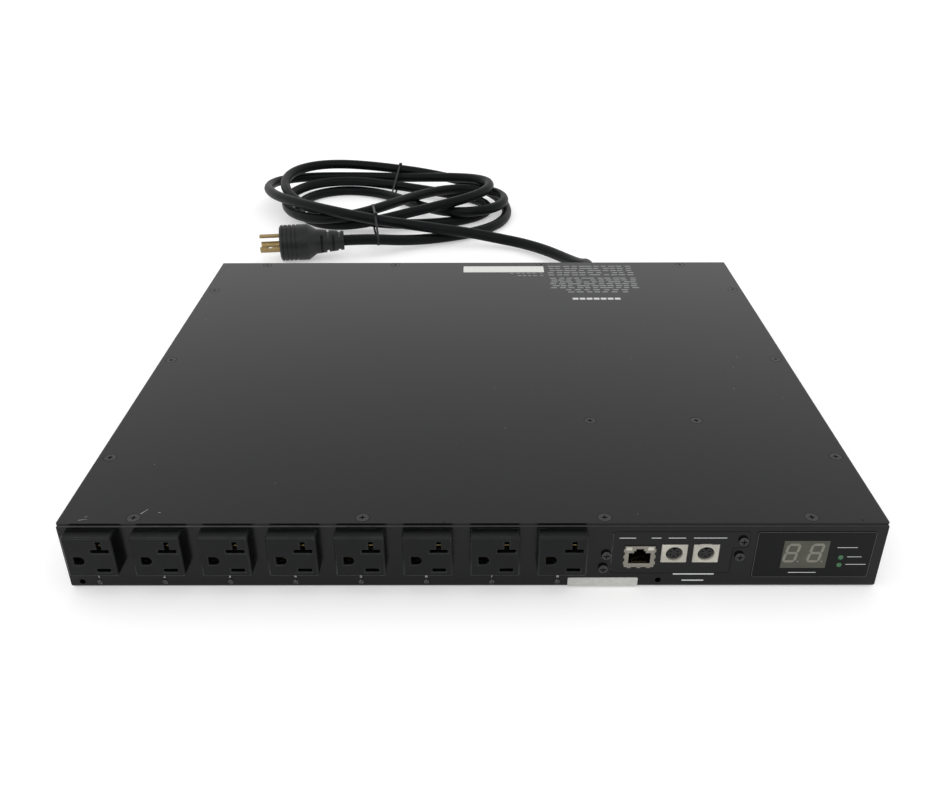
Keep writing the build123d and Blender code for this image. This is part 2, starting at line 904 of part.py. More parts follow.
with BuildPart() as port_inserts:
    insert_len = port_bore_depth - insert_short
    with BuildSketch(front.offset(port_proud - port_bore_depth)):
        with Locations([(x, port_bore_z) for x in port_xs]):
            Circle(insert_r)
        with Locations([(x, port_bore_z + insert_r) for x in port_xs]):
            Rectangle(key_w, key_h, align=(Align.CENTER, Align.MAX), mode=Mode.SUBTRACT)
    extrude(amount=insert_len)
    with BuildSketch(front.offset(port_proud - insert_short)):
        with Locations([(x, port_bore_z) for x in port_xs]):
            with PolarLocations(insert_hole_ring, insert_holes, start_angle=30):
                Circle(insert_hole_r)
    extrude(amount=-insert_hole_depth, mode=Mode.SUBTRACT)
finish(port_inserts, "port_inserts")

# Bay: folded sheet hung from the front panel and from the cover
with BuildPart() as card_bay:
    bay_mid = (bay_x0 + bay_x1) / 2
    bay_h = bay_wall_z1 - bay_z0
    with BuildSketch(front.offset(-sheet)):
        with Locations((bay_mid, bay_z0)):
            Rectangle(bay_x1 - bay_x0, bay_h, align=(Align.CENTER, Align.MIN))
            inner_w = bay_x1 - bay_x0 - 2 * bay_t
            with Locations((0, bay_t)):
                Rectangle(inner_w, bay_h, align=(Align.CENTER, Align.MIN), mode=Mode.SUBTRACT)
    extrude(amount=-(bay_depth - sheet))
    with BuildSketch(front.offset(-sheet)):
        with Locations((bay_x0 + bay_t, bay_z0)):
            Rectangle(bay_flange_w + bay_t, bay_h, align=(Align.MAX, Align.MIN))
        with Locations((bay_x1 - bay_t, bay_z0)):
            Rectangle(bay_flange_w + bay_t, bay_h, align=(Align.MIN, Align.MIN))
        with Locations(card_plate_screw, *bay_front_screws):
            Circle(card_screw_r + seat_gap, mode=Mode.SUBTRACT)
    extrude(amount=-bay_t)
    with BuildSketch(front.offset(-bay_depth)):
        with Locations((bay_mid, bay_z0)):
            Rectangle(bay_x1 - bay_x0, tray_h - bay_z0, align=(Align.CENTER, Align.MIN))
        with Locations((card_mid_x, card_board_top)):
            Rectangle(
                bay_window_w, bay_window_h, align=(Align.CENTER, Align.MIN), mode=Mode.SUBTRACT
            )
    extrude(amount=-bay_t)
    with BuildSketch(Plane.XY.offset(tray_h - bay_t)):
        with Locations((bay_mid, depth_y(bay_depth))):
            Rectangle(bay_top_flange_w, bay_top_flange_d, align=(Align.CENTER, Align.MIN))
    extrude(amount=bay_t)
    with Locations([(x, y, case_h) for x, y in bay_screws]):
        CounterSinkHole(
            cover_thread_r + seat_gap,
            cover_head_r,
            depth=cover_t + bay_t,
            counter_sink_angle=cover_head_angle,
        )
finish(card_bay, "card_bay")

with BuildPart() as card_guides:
    rail_len = card_board_len - rail_short
    rail_z = card_board_top - board_t / 2
    with BuildSketch(front.offset(-card_tab_len)):
        with Locations((bay_x0 + bay_t, rail_z)):
            Rectangle(rail_w, rail_h, align=(Align.MIN, Align.CENTER))
        with Locations((bay_x1 - bay_t, rail_z)):
            Rectangle(rail_w, rail_h, align=(Align.MAX, Align.CENTER))
        with Locations((card_mid_x, rail_z)):
            Rectangle(
                card_board_x1 - card_board_x0 + 2 * rail_clear,
                board_t + 2 * rail_clear,
                mode=Mode.SUBTRACT,
            )
    extrude(amount=-rail_len)
finish(card_guides, "card_guides")

# Transfer and supply board on its spacers, with what stands on it
post_dx = transfer_w - 2 * post_inset
post_dy = transfer_d / 2 - post_inset
with BuildPart() as transfer_board:
    with BuildSketch(Plane.XY.offset(sheet + post_h)):
        with Locations((transfer_x, 0)):
            Rectangle(transfer_w, transfer_d)
            with GridLocations(post_dx, post_dy, 2, 3):
                Circle(post_bore_r, mode=Mode.SUBTRACT)
    extrude(amount=board_t)
finish(transfer_board, "transfer_board")

with BuildPart() as board_standoffs:
    with BuildSketch(Plane.XY.offset(sheet)):
        with Locations((transfer_x, 0)):
            with GridLocations(post_dx, post_dy, 2, 3):
                hexagon(post_af)
                Circle(post_bore_r, mode=Mode.SUBTRACT)
    extrude(amount=post_h)
    with BuildSketch(front.offset(-sheet)):
        with Locations((overlay_x, overlay_z)):
            with GridLocations(2 * display_post_dx, 2 * display_post_dz, 2, 2):
                hexagon(post_af)
                Circle(post_bore_r, mode=Mode.SUBTRACT)
    extrude(amount=-(display_board_depth - sheet))
finish(board_standoffs, "board_standoffs")

with BuildPart() as board_screws:
    for face, middle, spacing, count in (
        (Plane.XY.offset(transfer_top), (transfer_x, 0), (post_dx, post_dy), (2, 3)),
        (
            rear.offset(-case_d + display_back),
            (-overlay_x, overlay_z),
            (2 * display_post_dx, 2 * display_post_dz),
            (2, 2),
        ),
    ):
        with BuildSketch(face):
            with Locations(middle):
                with GridLocations(*spacing, *count):
                    hexagon(post_head_af)
        extrude(amount=post_head_t)
        with BuildSketch(face):
            with Locations(middle):
                with GridLocations(*spacing, *count):
                    Circle(post_screw_r)
        extrude(amount=-post_screw_len)
finish(board_screws, "board_screws")

relay_xs = [transfer_relay_pitch * (i - (transfer_relay_count - 1) / 2) for i in range(4)]
with BuildPart() as transfer_relays:
    with BuildSketch(Plane.XY.offset(transfer_top)):
        with Locations([(transfer_x + x, transfer_relay_y) for x in relay_xs]):
            Rectangle(transfer_relay_w, transfer_relay_d)
    extrude(amount=transfer_relay_h)
finish(transfer_relays, "transfer_relays")

core_z0 = transfer_top + coil_build
with BuildPart() as transformer_core:
    with BuildSketch(Plane.XY.offset(core_z0)):
        with Locations(transformer_at):
            Rectangle(3 * core_leg, 2.5 * core_leg)
            with GridLocations(1.5 * core_leg, 0, 2, 1):
                Rectangle(core_leg / 2, 1.5 * core_leg, mode=Mode.SUBTRACT)
    extrude(amount=core_stack)
finish(transformer_core, "transformer_core")

with BuildPart() as transformer_winding:
    with BuildSketch(Plane.XY.offset(transfer_top)):
        with Locations(transformer_at):
            winding_w = core_leg + 2 * coil_build
            Rectangle(winding_w, 1.5 * core_leg - 2 * coil_clear)
    extrude(amount=core_stack + 2 * coil_build)
    with BuildSketch(Plane.XY.offset(core_z0)):
        with Locations(transformer_at):
            Rectangle(core_leg, 1.5 * core_leg)
    extrude(amount=core_stack, mode=Mode.SUBTRACT)
finish(transformer_winding, "transformer_winding")

with BuildPart() as supply_capacitors:
    with BuildSketch(Plane.XY.offset(transfer_top)):
        with Locations(capacitor_at):
            with GridLocations(0, capacitor_pitch, 1, 3):
                Circle(capacitor_r)
    extrude(amount=capacitor_h)
    chamfer(supply_capacitors.faces().group_by(Axis.Z)[-1].edges(), capacitor_bevel)
finish(supply_capacitors, "supply_capacitors")

with BuildPart() as current_sensor:
    with BuildSketch(Plane.XY.offset(transfer_top)):
        with Locations(sensor_at):
            Circle(sensor_r)
            Circle(sensor_bore_r, mode=Mode.SUBTRACT)
    extrude(amount=sensor_t)
finish(current_sensor, "current_sensor")

# Input terminals in front of the glands, wires into them, bars out of them
way_xs = [terminal_pitch * (i - (terminal_ways - 1) / 2) for i in range(terminal_ways)]
terminal_back = terminal_y + terminal_d / 2
with BuildPart() as input_terminals:
    terminal_w = terminal_pitch * terminal_ways
    with BuildSketch(Plane.XY.offset(sheet)):
        with Locations((terminal_x, terminal_y)):
            Rectangle(terminal_w, terminal_d)
    extrude(amount=terminal_h)
    with BuildSketch(Plane.XY.offset(sheet + terminal_h)):
        with Locations((terminal_x, terminal_y)):
            with GridLocations(terminal_pitch, 0, terminal_ways - 1, 1):
                Rectangle(terminal_fin_t, terminal_d)
    extrude(amount=terminal_fin_h)
    with BuildSketch(Plane.XY.offset(sheet + terminal_h)):
        with Locations([(terminal_x + x, terminal_y) for x in way_xs]):
            Circle(terminal_well_r)
    extrude(amount=-terminal_well_depth, mode=Mode.SUBTRACT)
    with BuildSketch(rear.offset(terminal_back - case_d / 2)):
        with Locations([(-terminal_x - x, terminal_floor) for x in way_xs]):
            Circle(wire_r + card_hole_clear)
    extrude(amount=-terminal_bore_depth, mode=Mode.SUBTRACT)
finish(input_terminals, "input_terminals")

terminal_front = terminal_y - terminal_d / 2
wire_y0 = case_d / 2 - gland_thread_len
wire_y1 = terminal_back - terminal_bore_depth
first_way, second_way = (terminal_x + x for x in way_xs[:2])
bar_paths = (
    (
        (first_way, terminal_front),
        (first_way, rear_bar_y),
        (column_x, rear_bar_y),
        (column_x, -depth_y(outlet_board_back)),
    ),
    ((second_way, terminal_front), (second_way, board_bar_y), (board_bar_x, board_bar_y)),
    (
        (board_bar_x, front_bar_y),
        (column_x, front_bar_y),
        (column_x, depth_y(outlet_board_back)),
    ),
)
with BuildPart() as power_conductors:
    for i, dx in enumerate((-wire_core_pitch, 0, wire_core_pitch)):
        start_x = gland_xs[0] + dx
        way_x = terminal_x + way_xs[i]
        with BuildLine():
            FilletPolyline(
                (start_x, wire_y0, gland_z),
                (start_x, wire_y0 - wire_start, gland_z),
                (way_x, terminal_back + wire_start, terminal_floor),
                (way_x, wire_y1, terminal_floor),
                radius=wire_bend_r,
            )
        with BuildSketch(rear.offset(wire_y0 - case_d / 2)):
            with Locations((-start_x, gland_z)):
                Circle(wire_r)
        sweep()
    for path in bar_paths:
        with BuildSketch(Plane.XY.offset(transfer_top)):
            with BuildLine():
                Polyline(*path)
            trace(line_width=bar_t)
        extrude(amount=bar_h)
finish(power_conductors, "power_conductors")

with BuildPart() as ground_stud:
    with BuildSketch(Plane.XY.offset(sheet)):
        with Locations(stud_at):
            Circle(stud_r)
    extrude(amount=stud_h)
    with BuildSketch(Plane.XY.offset(sheet)):
        with Locations(stud_at):
            hexagon(stud_nut_af)
    extrude(amount=stud_nut_t)
finish(ground_stud, "ground_stud")

# Cable glands: threaded body, cap and lock nut for each line input
with BuildPart() as gland_bodies:
    with BuildSketch(rear):
        with Locations([(-x, gland_z) for x in gland_xs]):
            hexagon(gland_af)
    extrude(amount=gland_hex_t)
    with BuildSketch(rear.offset(-gland_thread_len)):
        with Locations([(-x, gland_z) for x in gland_xs]):
            Circle(gland_thread_r)
    extrude(amount=gland_thread_len)
    with BuildSketch(rear.offset(gland_hex_t)):
        with Locations([(-x, gland_z) for x in gland_xs]):
            Circle(gland_neck_r)
    extrude(amount=gland_neck_len)
    with BuildSketch(rear.offset(-gland_thread_len)):
        with Locations([(-x, gland_z) for x in gland_xs]):
            Circle(cord_r + cord_clear)
    extrude(amount=gland_thread_len + gland_hex_t + gland_neck_len, mode=Mode.SUBTRACT)
finish(gland_bodies, "gland_bodies")

with BuildPart() as gland_caps:
    with BuildSketch(rear.offset(gland_hex_t)):
        with Locations([(-x, gland_z) for x in gland_xs]):
            hexagon(gland_cap_af)
    extrude(amount=gland_cap_t)
    with BuildSketch(rear.offset(gland_hex_t + gland_cap_t)):
        with Locations([(-x, gland_z) for x in gland_xs]):
            Circle(gland_nose_r)
    extrude(amount=gland_cap_nose)
    chamfer(gland_caps.faces().group_by(Axis.Y)[-1].edges(), gland_nose_bevel)
    with BuildSketch(rear.offset(gland_hex_t)):
        with Locations([(-x, gland_z) for x in gland_xs]):
            Circle(gland_neck_r + gland_clear)
    extrude(amount=gland_neck_len + gland_clear, mode=Mode.SUBTRACT)
    with BuildSketch(rear.offset(gland_hex_t)):
        with Locations([(-x, gland_z) for x in gland_xs]):
            Circle(cord_r + cord_clear)
    extrude(amount=gland_cap_t + gland_cap_nose, mode=Mode.SUBTRACT)
finish(gland_caps, "gland_caps")

with BuildPart() as gland_nuts:
    with BuildSketch(rear.offset(-sheet)):
        with Locations([(-x, gland_z) for x in gland_xs]):
            hexagon(gland_af)
            Circle(gland_thread_r + gland_clear, mode=Mode.SUBTRACT)
    extrude(amount=-gland_nut_t)
finish(gland_nuts, "gland_nuts")

# Rubber boot: its shank fills the gland, its nose tapers along the cord
boot_y0 = case_d / 2 + gland_end
boot_axis = Plane(origin=(gland_xs[0], 0, gland_z), x_dir=(0, 1, 0), z_dir=(1, 0, 0))
with BuildPart() as cord_boot:
    with BuildSketch(boot_axis):
        with BuildLine():
            Polyline(
                (wire_y0, 0),
                (wire_y0, cord_r),
                (boot_y0, cord_r),
                (boot_y0, boot_r),
                (boot_y0 + boot_len, boot_tip_r),
                (boot_y0 + boot_len, 0),
                close=True,
            )
        make_face()
        for i in range(boot_grooves):
            with Locations((boot_y0 + boot_len * (i + 1) / (boot_grooves + 1), boot_r)):
                groove_to = boot_r - boot_tip_r + boot_groove_depth
                Rectangle(
                    boot_groove_w,
                    groove_to,
                    align=(Align.CENTER, Align.MAX),
                    mode=Mode.SUBTRACT,
                )
    revolve(axis=Axis((gland_xs[0], 0, gland_z), (0, 1, 0)))
finish(cord_boot, "cord_boot")

# Coil of cord, its ties, and the two free runs of cord that leave it
coil_plane = Plane(
    origin=(coil_x, coil_y, tie_t),
    x_dir=(cos(radians(coil_turn)), sin(radians(coil_turn)), 0),
    z_dir=(0, 0, 1),
)
with BuildPart() as power_cord_coil:
    with BuildSketch(coil_plane):
        SlotOverall(coil_len, coil_w)
        SlotOverall(
            coil_len - 2 * coil_band, coil_w - 2 * coil_band, mode=Mode.SUBTRACT
        )
    extrude(amount=coil_h)
    long_edges = power_cord_coil.faces().sort_by(Axis.Z)[0].edges()
    long_edges += power_cord_coil.faces().sort_by(Axis.Z)[-1].edges()
    fillet(long_edges, coil_round)
finish(power_cord_coil, "power_cord_coil")

with BuildPart() as cord_ties:
    for along, side in tie_places:
        across = side * (coil_w - coil_band) / 2
        middle = coil_plane.from_local_coords((along, across, coil_h / 2))
        cut = Plane(origin=middle, x_dir=coil_plane.y_dir, z_dir=coil_plane.x_dir)
        with BuildSketch(cut):
            RectangleRounded(coil_band + 2 * tie_t, coil_h + 2 * tie_t, coil_round + tie_t)
            RectangleRounded(coil_band, coil_h, coil_round, mode=Mode.SUBTRACT)
            with Locations((0, coil_h / 2)):
                Rectangle(tie_head, tie_head_h, align=(Align.CENTER, Align.MIN))
        extrude(amount=tie_w / 2, both=True)
finish(cord_ties, "cord_ties")

lead_points = [
    (gland_xs[0], boot_y0 + boot_len, gland_z),
    (gland_xs[0], boot_y0 + boot_len + cord_start, gland_z),
    *lead_route,
]
plug_axis = Vector(cos(radians(plug_turn)), sin(radians(plug_turn)), 0)
plug_end = Vector(*plug_at, plug_r)
tail_points = [
    tuple(plug_end),
    tuple(plug_end - plug_axis * tail_start),
    *tail_route,
]
for points, name in ((lead_points, "power_cord_lead"), (tail_points, "power_cord_tail")):
    run = cord_run(points)
    with BuildPart() as cut_run:
        add(run.part)
        add(power_cord_coil.part, mode=Mode.SUBTRACT)
    finish(cut_run, name)

# Plug: ribbed grip, cone, slotted neck, three curved locking blades
neck_z = plug_neck_len
cone_z = neck_z + plug_cone_len
face_z = cone_z + plug_grip_len
plug_plane = Plane(origin=plug_end, x_dir=(0, 0, 1), z_dir=plug_axis)
blade_face = plug_plane.offset(face_z)
with BuildPart() as plug_blades:
    with BuildSketch(blade_face.offset(-pin_in)):
        with BuildLine():
            for i in range(3):
                CenterArc((0, 0), pin_ring_r, 120 * i - pin_arc / 2, pin_arc)
        trace(line_width=pin_sheet)
    extrude(amount=pin_in + pin_out)
    with BuildSketch(blade_face.offset(pin_notch_at)):
        with PolarLocations(pin_ring_r, 3, start_angle=pin_arc / 2):
            Rectangle(2 * pin_sheet, pin_notch_w)
    extrude(amount=pin_notch_h, mode=Mode.SUBTRACT)
finish(plug_blades, "plug_blades")

side_plane = Plane(origin=plug_end, x_dir=plug_axis, z_dir=(0, 0, 1))
with BuildPart() as plug_body:
    with BuildSketch(side_plane):
        with BuildLine():
            Polyline(
                (0, 0),
                (0, plug_neck_end_r),
                (neck_z, plug_neck_r),
                (cone_z, plug_r),
                (face_z - plug_bevel, plug_r),
                (face_z, plug_r - plug_bevel),
                (face_z, 0),
                close=True,
            )
        make_face()
        for i in range(groove_count):
            with Locations((face_z - plug_bevel - groove_pitch * (i + 0.5), plug_r)):
                Rectangle(
                    groove_w,
                    groove_depth,
                    align=(Align.CENTER, Align.MAX),
                    mode=Mode.SUBTRACT,
                )
    revolve(axis=Axis(plug_end, plug_axis))
    for i in range(relief_count):
        station = plug_plane.offset(neck_z - relief_pitch * (i + 0.8))
        with BuildSketch(station):
            for side in (-1, 1):
                offset_x = side * relief_core_r * (i % 2)
                offset_y = side * relief_core_r * ((i + 1) % 2)
                with Locations((offset_x, offset_y)):
                    if i % 2:
                        low_or_high = (Align.MIN if side > 0 else Align.MAX, Align.CENTER)
                        Rectangle(plug_r, plug_r, align=low_or_high)
                    else:
                        low_or_high = (Align.CENTER, Align.MIN if side > 0 else Align.MAX)
                        Rectangle(plug_r, plug_r, align=low_or_high)
        extrude(amount=-relief_w, mode=Mode.SUBTRACT)
    add(plug_blades.part, mode=Mode.SUBTRACT)
finish(plug_body, "plug_body")
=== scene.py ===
"""Looks of the switched power distribution unit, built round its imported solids.

Metres, in the solids' own frame: X right, Y back, Z up, the origin in the middle of the base.
Places and sizes of the pieces are written in millimetres, and MM turns them to metres.
"""

import json
import math
import random

import bmesh
import bpy
from mathutils import Matrix, Vector


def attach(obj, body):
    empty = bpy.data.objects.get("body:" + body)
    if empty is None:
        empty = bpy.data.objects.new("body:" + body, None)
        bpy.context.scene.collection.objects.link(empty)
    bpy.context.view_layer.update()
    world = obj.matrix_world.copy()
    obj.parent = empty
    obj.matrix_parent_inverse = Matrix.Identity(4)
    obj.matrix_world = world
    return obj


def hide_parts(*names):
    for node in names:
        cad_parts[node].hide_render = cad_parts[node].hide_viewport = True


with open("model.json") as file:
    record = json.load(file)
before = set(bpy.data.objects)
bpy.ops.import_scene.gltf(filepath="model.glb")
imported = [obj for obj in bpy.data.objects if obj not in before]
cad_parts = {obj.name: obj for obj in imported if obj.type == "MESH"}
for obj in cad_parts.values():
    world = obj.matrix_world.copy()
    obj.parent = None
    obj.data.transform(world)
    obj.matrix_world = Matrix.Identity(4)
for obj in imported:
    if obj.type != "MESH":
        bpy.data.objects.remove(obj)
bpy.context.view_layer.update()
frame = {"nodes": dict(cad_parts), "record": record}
nodes = frame["nodes"]
MM = 0.001

# Where the photograph was taken from, in metres and radians, with its focal length and width in
# pixels
CAMERA_AT = (0.00229, -0.58992, 0.34535)
PITCH, YAW, ROLL = 0.5132, -0.0029, -0.0029
FOCAL_PX = 932.685
PICTURE_PX = 948.0
SENSOR_W = 36.0

# The case's planes, and how far the pieces on its front stand out of the panel
FRONT_Y = -190.5
TOP_Z = 44.0
FILM_OUT = 0.25
MODULE_OUT = 0.2
JACK_OUT = 0.5
SOCKET_XS = [-204.4 + 36.1 * i for i in range(8)]

# How thick ink and wear lie on the coat
INK = 0.04
THIN_INK = 0.03
FILM_LINE = 0.02
WEAR = 0.02

# Line cord: its radius and length, and the route that the solids follow
CORD_R = 5.5
LEAD_ROUTE = (
    (108.0, 232.5, 22.0), (108.0, 245.5, 21.5), (103.0, 264.0, 13.5), (92.0, 290.0, 9.5),
    (73.0, 318.0, 8.5), (50.0, 341.0, 7.5), (26.0, 351.0, 9.0), (-2.0, 355.0, 13.5),
    (-28.0, 355.5, 17.0),
)
# The coil's turns, clockwise from above: a wide loop to the left, a low inner turn that crosses
# itself on the right, a third turn, and the high loose loop that comes down to the plug
COIL_ROUTE = (
    (-55.5, 355.5, 21), (-84, 357.5, 24.5), (-113, 363, 27.5), (-143, 374, 30),
    (-172, 391.5, 30.5), (-199, 414.5, 29.5), (-221.5, 441, 27), (-236.5, 469, 24.5),
    (-244, 497, 21.5), (-242, 522, 19.5), (-231.5, 541, 17.5), (-214, 553, 16.5),
    (-189.5, 558.5, 16), (-160.5, 558.5, 16), (-128.5, 554, 17), (-94.5, 547, 18),
    (-60, 538.5, 20.5), (-27.5, 528.5, 23.5), (-0.5, 513, 26.5), (16, 492, 29), (18.5, 467, 30),
    (8, 443.5, 29.5), (-13, 425, 28), (-40.5, 411.5, 25), (-70, 401.5, 21), (-99.5, 395, 15.5),
    (-127.5, 393.5, 10.5), (-153.5, 399.5, 7), (-176.5, 414, 5.5), (-194, 435, 5.5),
    (-204.5, 460.5, 5.5), (-205.5, 487, 5.5), (-196.5, 511, 5.5), (-179.5, 528, 5.5),
    (-157, 535.5, 5.5), (-133, 531.5, 5.5), (-110, 518, 6), (-89, 497, 7), (-70, 470, 9),
    (-50.5, 443, 12), (-30, 422, 15), (-8, 413, 17.5), (13.5, 417, 18.5), (29.5, 433.5, 18.5),
    (35.5, 457, 18.5), (29, 480.5, 18), (12.5, 497, 17.5), (-10.5, 502.5, 17.5), (-35, 494, 18.5),
    (-59.5, 472.5, 20), (-82, 443.5, 21.5), (-104.5, 413.5, 22.5), (-128, 392, 22),
    (-154, 384, 20), (-180, 392.5, 17.5), (-202, 416, 15.5), (-215.5, 448, 14.5), (-218, 481, 15),
    (-209.5, 508.5, 15.5), (-191.5, 526.5, 16.5), (-167, 534.5, 17), (-138.5, 534.5, 17),
    (-108, 529, 15), (-77, 522.5, 12.5), (-46, 516, 9.5), (-18, 507, 7), (4, 493.5, 6),
    (16, 474, 5.5), (15, 451, 5.5), (0.5, 430, 5.5), (-25, 415, 5.5), (-57, 407, 6),
    (-91, 404, 7), (-124.5, 404.5, 10.5), (-155, 409.5, 14.5), (-182, 421, 19), (-203, 441.5, 23),
    (-217.5, 468.5, 26.5), (-224, 497.5, 28.5), (-221, 525.5, 30), (-208, 547.5, 30.5),
    (-187.5, 561, 30.5), (-160.5, 565, 30), (-129.5, 562.5, 28.5), (-95.5, 557.5, 26),
    (-61.5, 550.5, 23), (-29, 541, 19), (-1, 526, 15), (21, 505.5, 11), (34.5, 479.5, 8),
    (38.5, 450.5, 6), (33.5, 422, 5.5), (20, 398, 5.5), (-1, 379.5, 5.5),
)
TAIL_ROUTE = (
    (-27.0, 365.5, 6.0), (-54.0, 352.0, 7.5), (-77.0, 339.0, 11.5), (-97.0, 329.0, 16.0),
    (-115.1, 323.8, 18.0), (-133.0, 321.5, 18.0),
)
# Each tie: its middle, its turn in degrees and its reach each way across the turns
TIES = ((-95.0, 528.0, -7.0, 46.0), (-107.0, 380.0, 9.0, 60.0))
TIE_W = 2.2
TIE_T = 0.6
TIE_ROOM = 0.3

# Studio: the floor's size, its shade and the light that it adds where it is seen, and the
# lamp's watts
FLOOR_SIZE = 9000.0
FLOOR_SHADE = 0.73
FLOOR_GLOW = 0.36
LAMP_WATTS = 6.0


def add_to_scene(name, data):
    """New object of some data, linked to the scene."""
    made = bpy.data.objects.new(name, data)
    bpy.context.scene.collection.objects.link(made)
    return made


def worked_out(made):
    """The object as its modifiers, curves or text make it."""
    return made.evaluated_get(bpy.context.evaluated_depsgraph_get())


def make_camera():
    """Camera where the photograph was taken from, at its angle and width of view."""
    data = bpy.data.cameras.new("camera")
    data.sensor_width = SENSOR_W
    data.lens = SENSOR_W * FOCAL_PX / PICTURE_PX
    data.clip_start = 0.01
    camera = add_to_scene("camera", data)
    look = Vector((
        math.sin(YAW) * math.cos(PITCH), math.cos(YAW) * math.cos(PITCH), -math.sin(PITCH),
    ))
    right = Vector((math.cos(YAW), -math.sin(YAW), 0))
    up = right.cross(look)
    right, up = (
        right * math.cos(ROLL) + up * math.sin(ROLL),
        up * math.cos(ROLL) - right * math.sin(ROLL),
    )
    turn = Matrix((right, up, -look)).transposed()
    camera.matrix_world = Matrix.Translation(CAMERA_AT) @ turn.to_4x4()
    bpy.context.scene.camera = camera


def make_cord():
    """The whole cord as one round smooth line: lead, coil and tail.

    The bevel is one metre, which the points' radius brings down to the cord's, because the
    curve's own box reaches past its points by their radius.
    """
    points = [*LEAD_ROUTE, *COIL_ROUTE, *TAIL_ROUTE]
    data = bpy.data.curves.new("power_cord", "CURVE")
    data.dimensions = "3D"
    line = data.splines.new("NURBS")
    line.points.add(len(points) - 1)
    for point, place in zip(line.points, points):
        point.co = (*[v * MM for v in place], 1.0)
        point.radius = CORD_R * MM
    line.order_u = 3
    line.use_endpoint_u = True
    line.resolution_u = 6
    data.bevel_depth = 1.0
    data.bevel_resolution = 5
    return add_to_scene("power_cord", data)


def line_points(curve):
    """Points along a curve's own line, in metres."""
    plain = add_to_scene("plain_line", curve.data.copy())
    plain.data.bevel_depth = 0.0
    points = [v.co.copy() for v in worked_out(plain).to_mesh().vertices]
    bpy.data.objects.remove(plain)
    return points


make_camera()
cord = make_cord()
cord_line = line_points(cord)
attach(cord, "root")
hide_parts("power_cord_lead", "power_cord_coil", "power_cord_tail")


# Materials

# The part of a noise's span over which colour and gloss drift
COLOR_DRIFT = (0.35, 0.65)
GLOSS_DRIFT = (0.3, 0.7)


def new_material(name, color, rough, metal=0.0):
    """A plain material: its nodes, links and shader."""
    material = bpy.data.materials.new(name)
    material.use_nodes = True
    tree = material.node_tree
    shader = tree.nodes["Principled BSDF"]
    shader.inputs["Base Color"].default_value = (*color, 1.0)
    shader.inputs["Roughness"].default_value = rough
    shader.inputs["Metallic"].default_value = metal
    material.diffuse_color = (*color, 1.0)
    return material, tree, shader


def noise(tree, scale, detail=3.0, stretch=None):
    """Noise on the piece's own coordinates, in cells of one over scale metres."""
    place = tree.nodes.new("ShaderNodeTexCoord").outputs["Object"]
    texture = tree.nodes.new("ShaderNodeTexNoise")
    texture.inputs["Scale"].default_value = scale
    texture.inputs["Detail"].default_value = detail
    if stretch:
        mapping = tree.nodes.new("ShaderNodeMapping")
        mapping.inputs["Scale"].default_value = stretch
        tree.links.new(place, mapping.inputs["Vector"])
        place = mapping.outputs["Vector"]
    tree.links.new(place, texture.inputs["Vector"])
    return texture.outputs["Fac"]


def two_shades(tree, source, low, high):
    """Colour that drifts between two shades as the source does."""
    node = tree.nodes.new("ShaderNodeValToRGB")
    for element, place, color in zip(node.color_ramp.elements, COLOR_DRIFT, (low, high)):
        element.position = place
        element.color = (*color, 1.0)
    tree.links.new(source, node.inputs["Fac"])
    return node.outputs["Color"]


def map_range(tree, source, from_min=0.0, from_max=1.0, to_min=0.0, to_max=1.0):
    """A source's span, stretched to another span."""
    node = tree.nodes.new("ShaderNodeMapRange")
    for label, value in (
        ("From Min", from_min), ("From Max", from_max), ("To Min", to_min), ("To Max", to_max),
    ):
        node.inputs[label].default_value = value
    tree.links.new(source, node.inputs["Value"])
    return node.outputs["Result"]


def math_node(tree, operation, first, second):
    """Result of one sum on two sources."""
    node = tree.nodes.new("ShaderNodeMath")
    node.operation = operation
    tree.links.new(first, node.inputs[0])
    tree.links.new(second, node.inputs[1])
    return node.outputs["Value"]


def vary_color(tree, shader, source, low, high):
    """Base colour that drifts between two shades."""
    tree.links.new(two_shades(tree, source, low, high), shader.inputs["Base Color"])


def vary_rough(tree, shader, source, low, high):
    """Roughness that drifts between two values."""
    rough = map_range(tree, source, *GLOSS_DRIFT, low, high)
    tree.links.new(rough, shader.inputs["Roughness"])


def add_bump(tree, shader, source, distance, strength):
    """Fine relief from a source, distance in metres."""
    bump = tree.nodes.new("ShaderNodeBump")
    bump.inputs["Distance"].default_value = distance
    bump.inputs["Strength"].default_value = strength
    tree.links.new(source, bump.inputs["Height"])
    tree.links.new(bump.outputs["Normal"], shader.inputs["Normal"])


def worn_edges(tree, shader, plain, edge_highlight, wide):
    """Lets the colour turn to a lighter painted highlight, in patches, within a width of the
    piece's edges.
    """
    bevel = tree.nodes.new("ShaderNodeBevel")
    bevel.samples = 4
    bevel.inputs["Radius"].default_value = wide
    surface = tree.nodes.new("ShaderNodeNewGeometry")
    meet = tree.nodes.new("ShaderNodeVectorMath")
    meet.operation = "DOT_PRODUCT"
    tree.links.new(bevel.outputs["Normal"], meet.inputs[0])
    tree.links.new(surface.outputs["True Normal"], meet.inputs[1])
    flat, bent, faintest_highlight = 0.985, 0.8, 0.35
    edge = map_range(tree, meet.outputs["Value"], flat, bent)
    patches = map_range(tree, noise(tree, 160.0), 0.35, 0.6, faintest_highlight)
    mix = tree.nodes.new("ShaderNodeMix")
    mix.data_type = "RGBA"
    tree.links.new(math_node(tree, "MULTIPLY", edge, patches), mix.inputs["Factor"])
    tree.links.new(plain, mix.inputs["A"])
    mix.inputs["B"].default_value = (*edge_highlight, 1.0)
    tree.links.new(mix.outputs["Result"], shader.inputs["Base Color"])


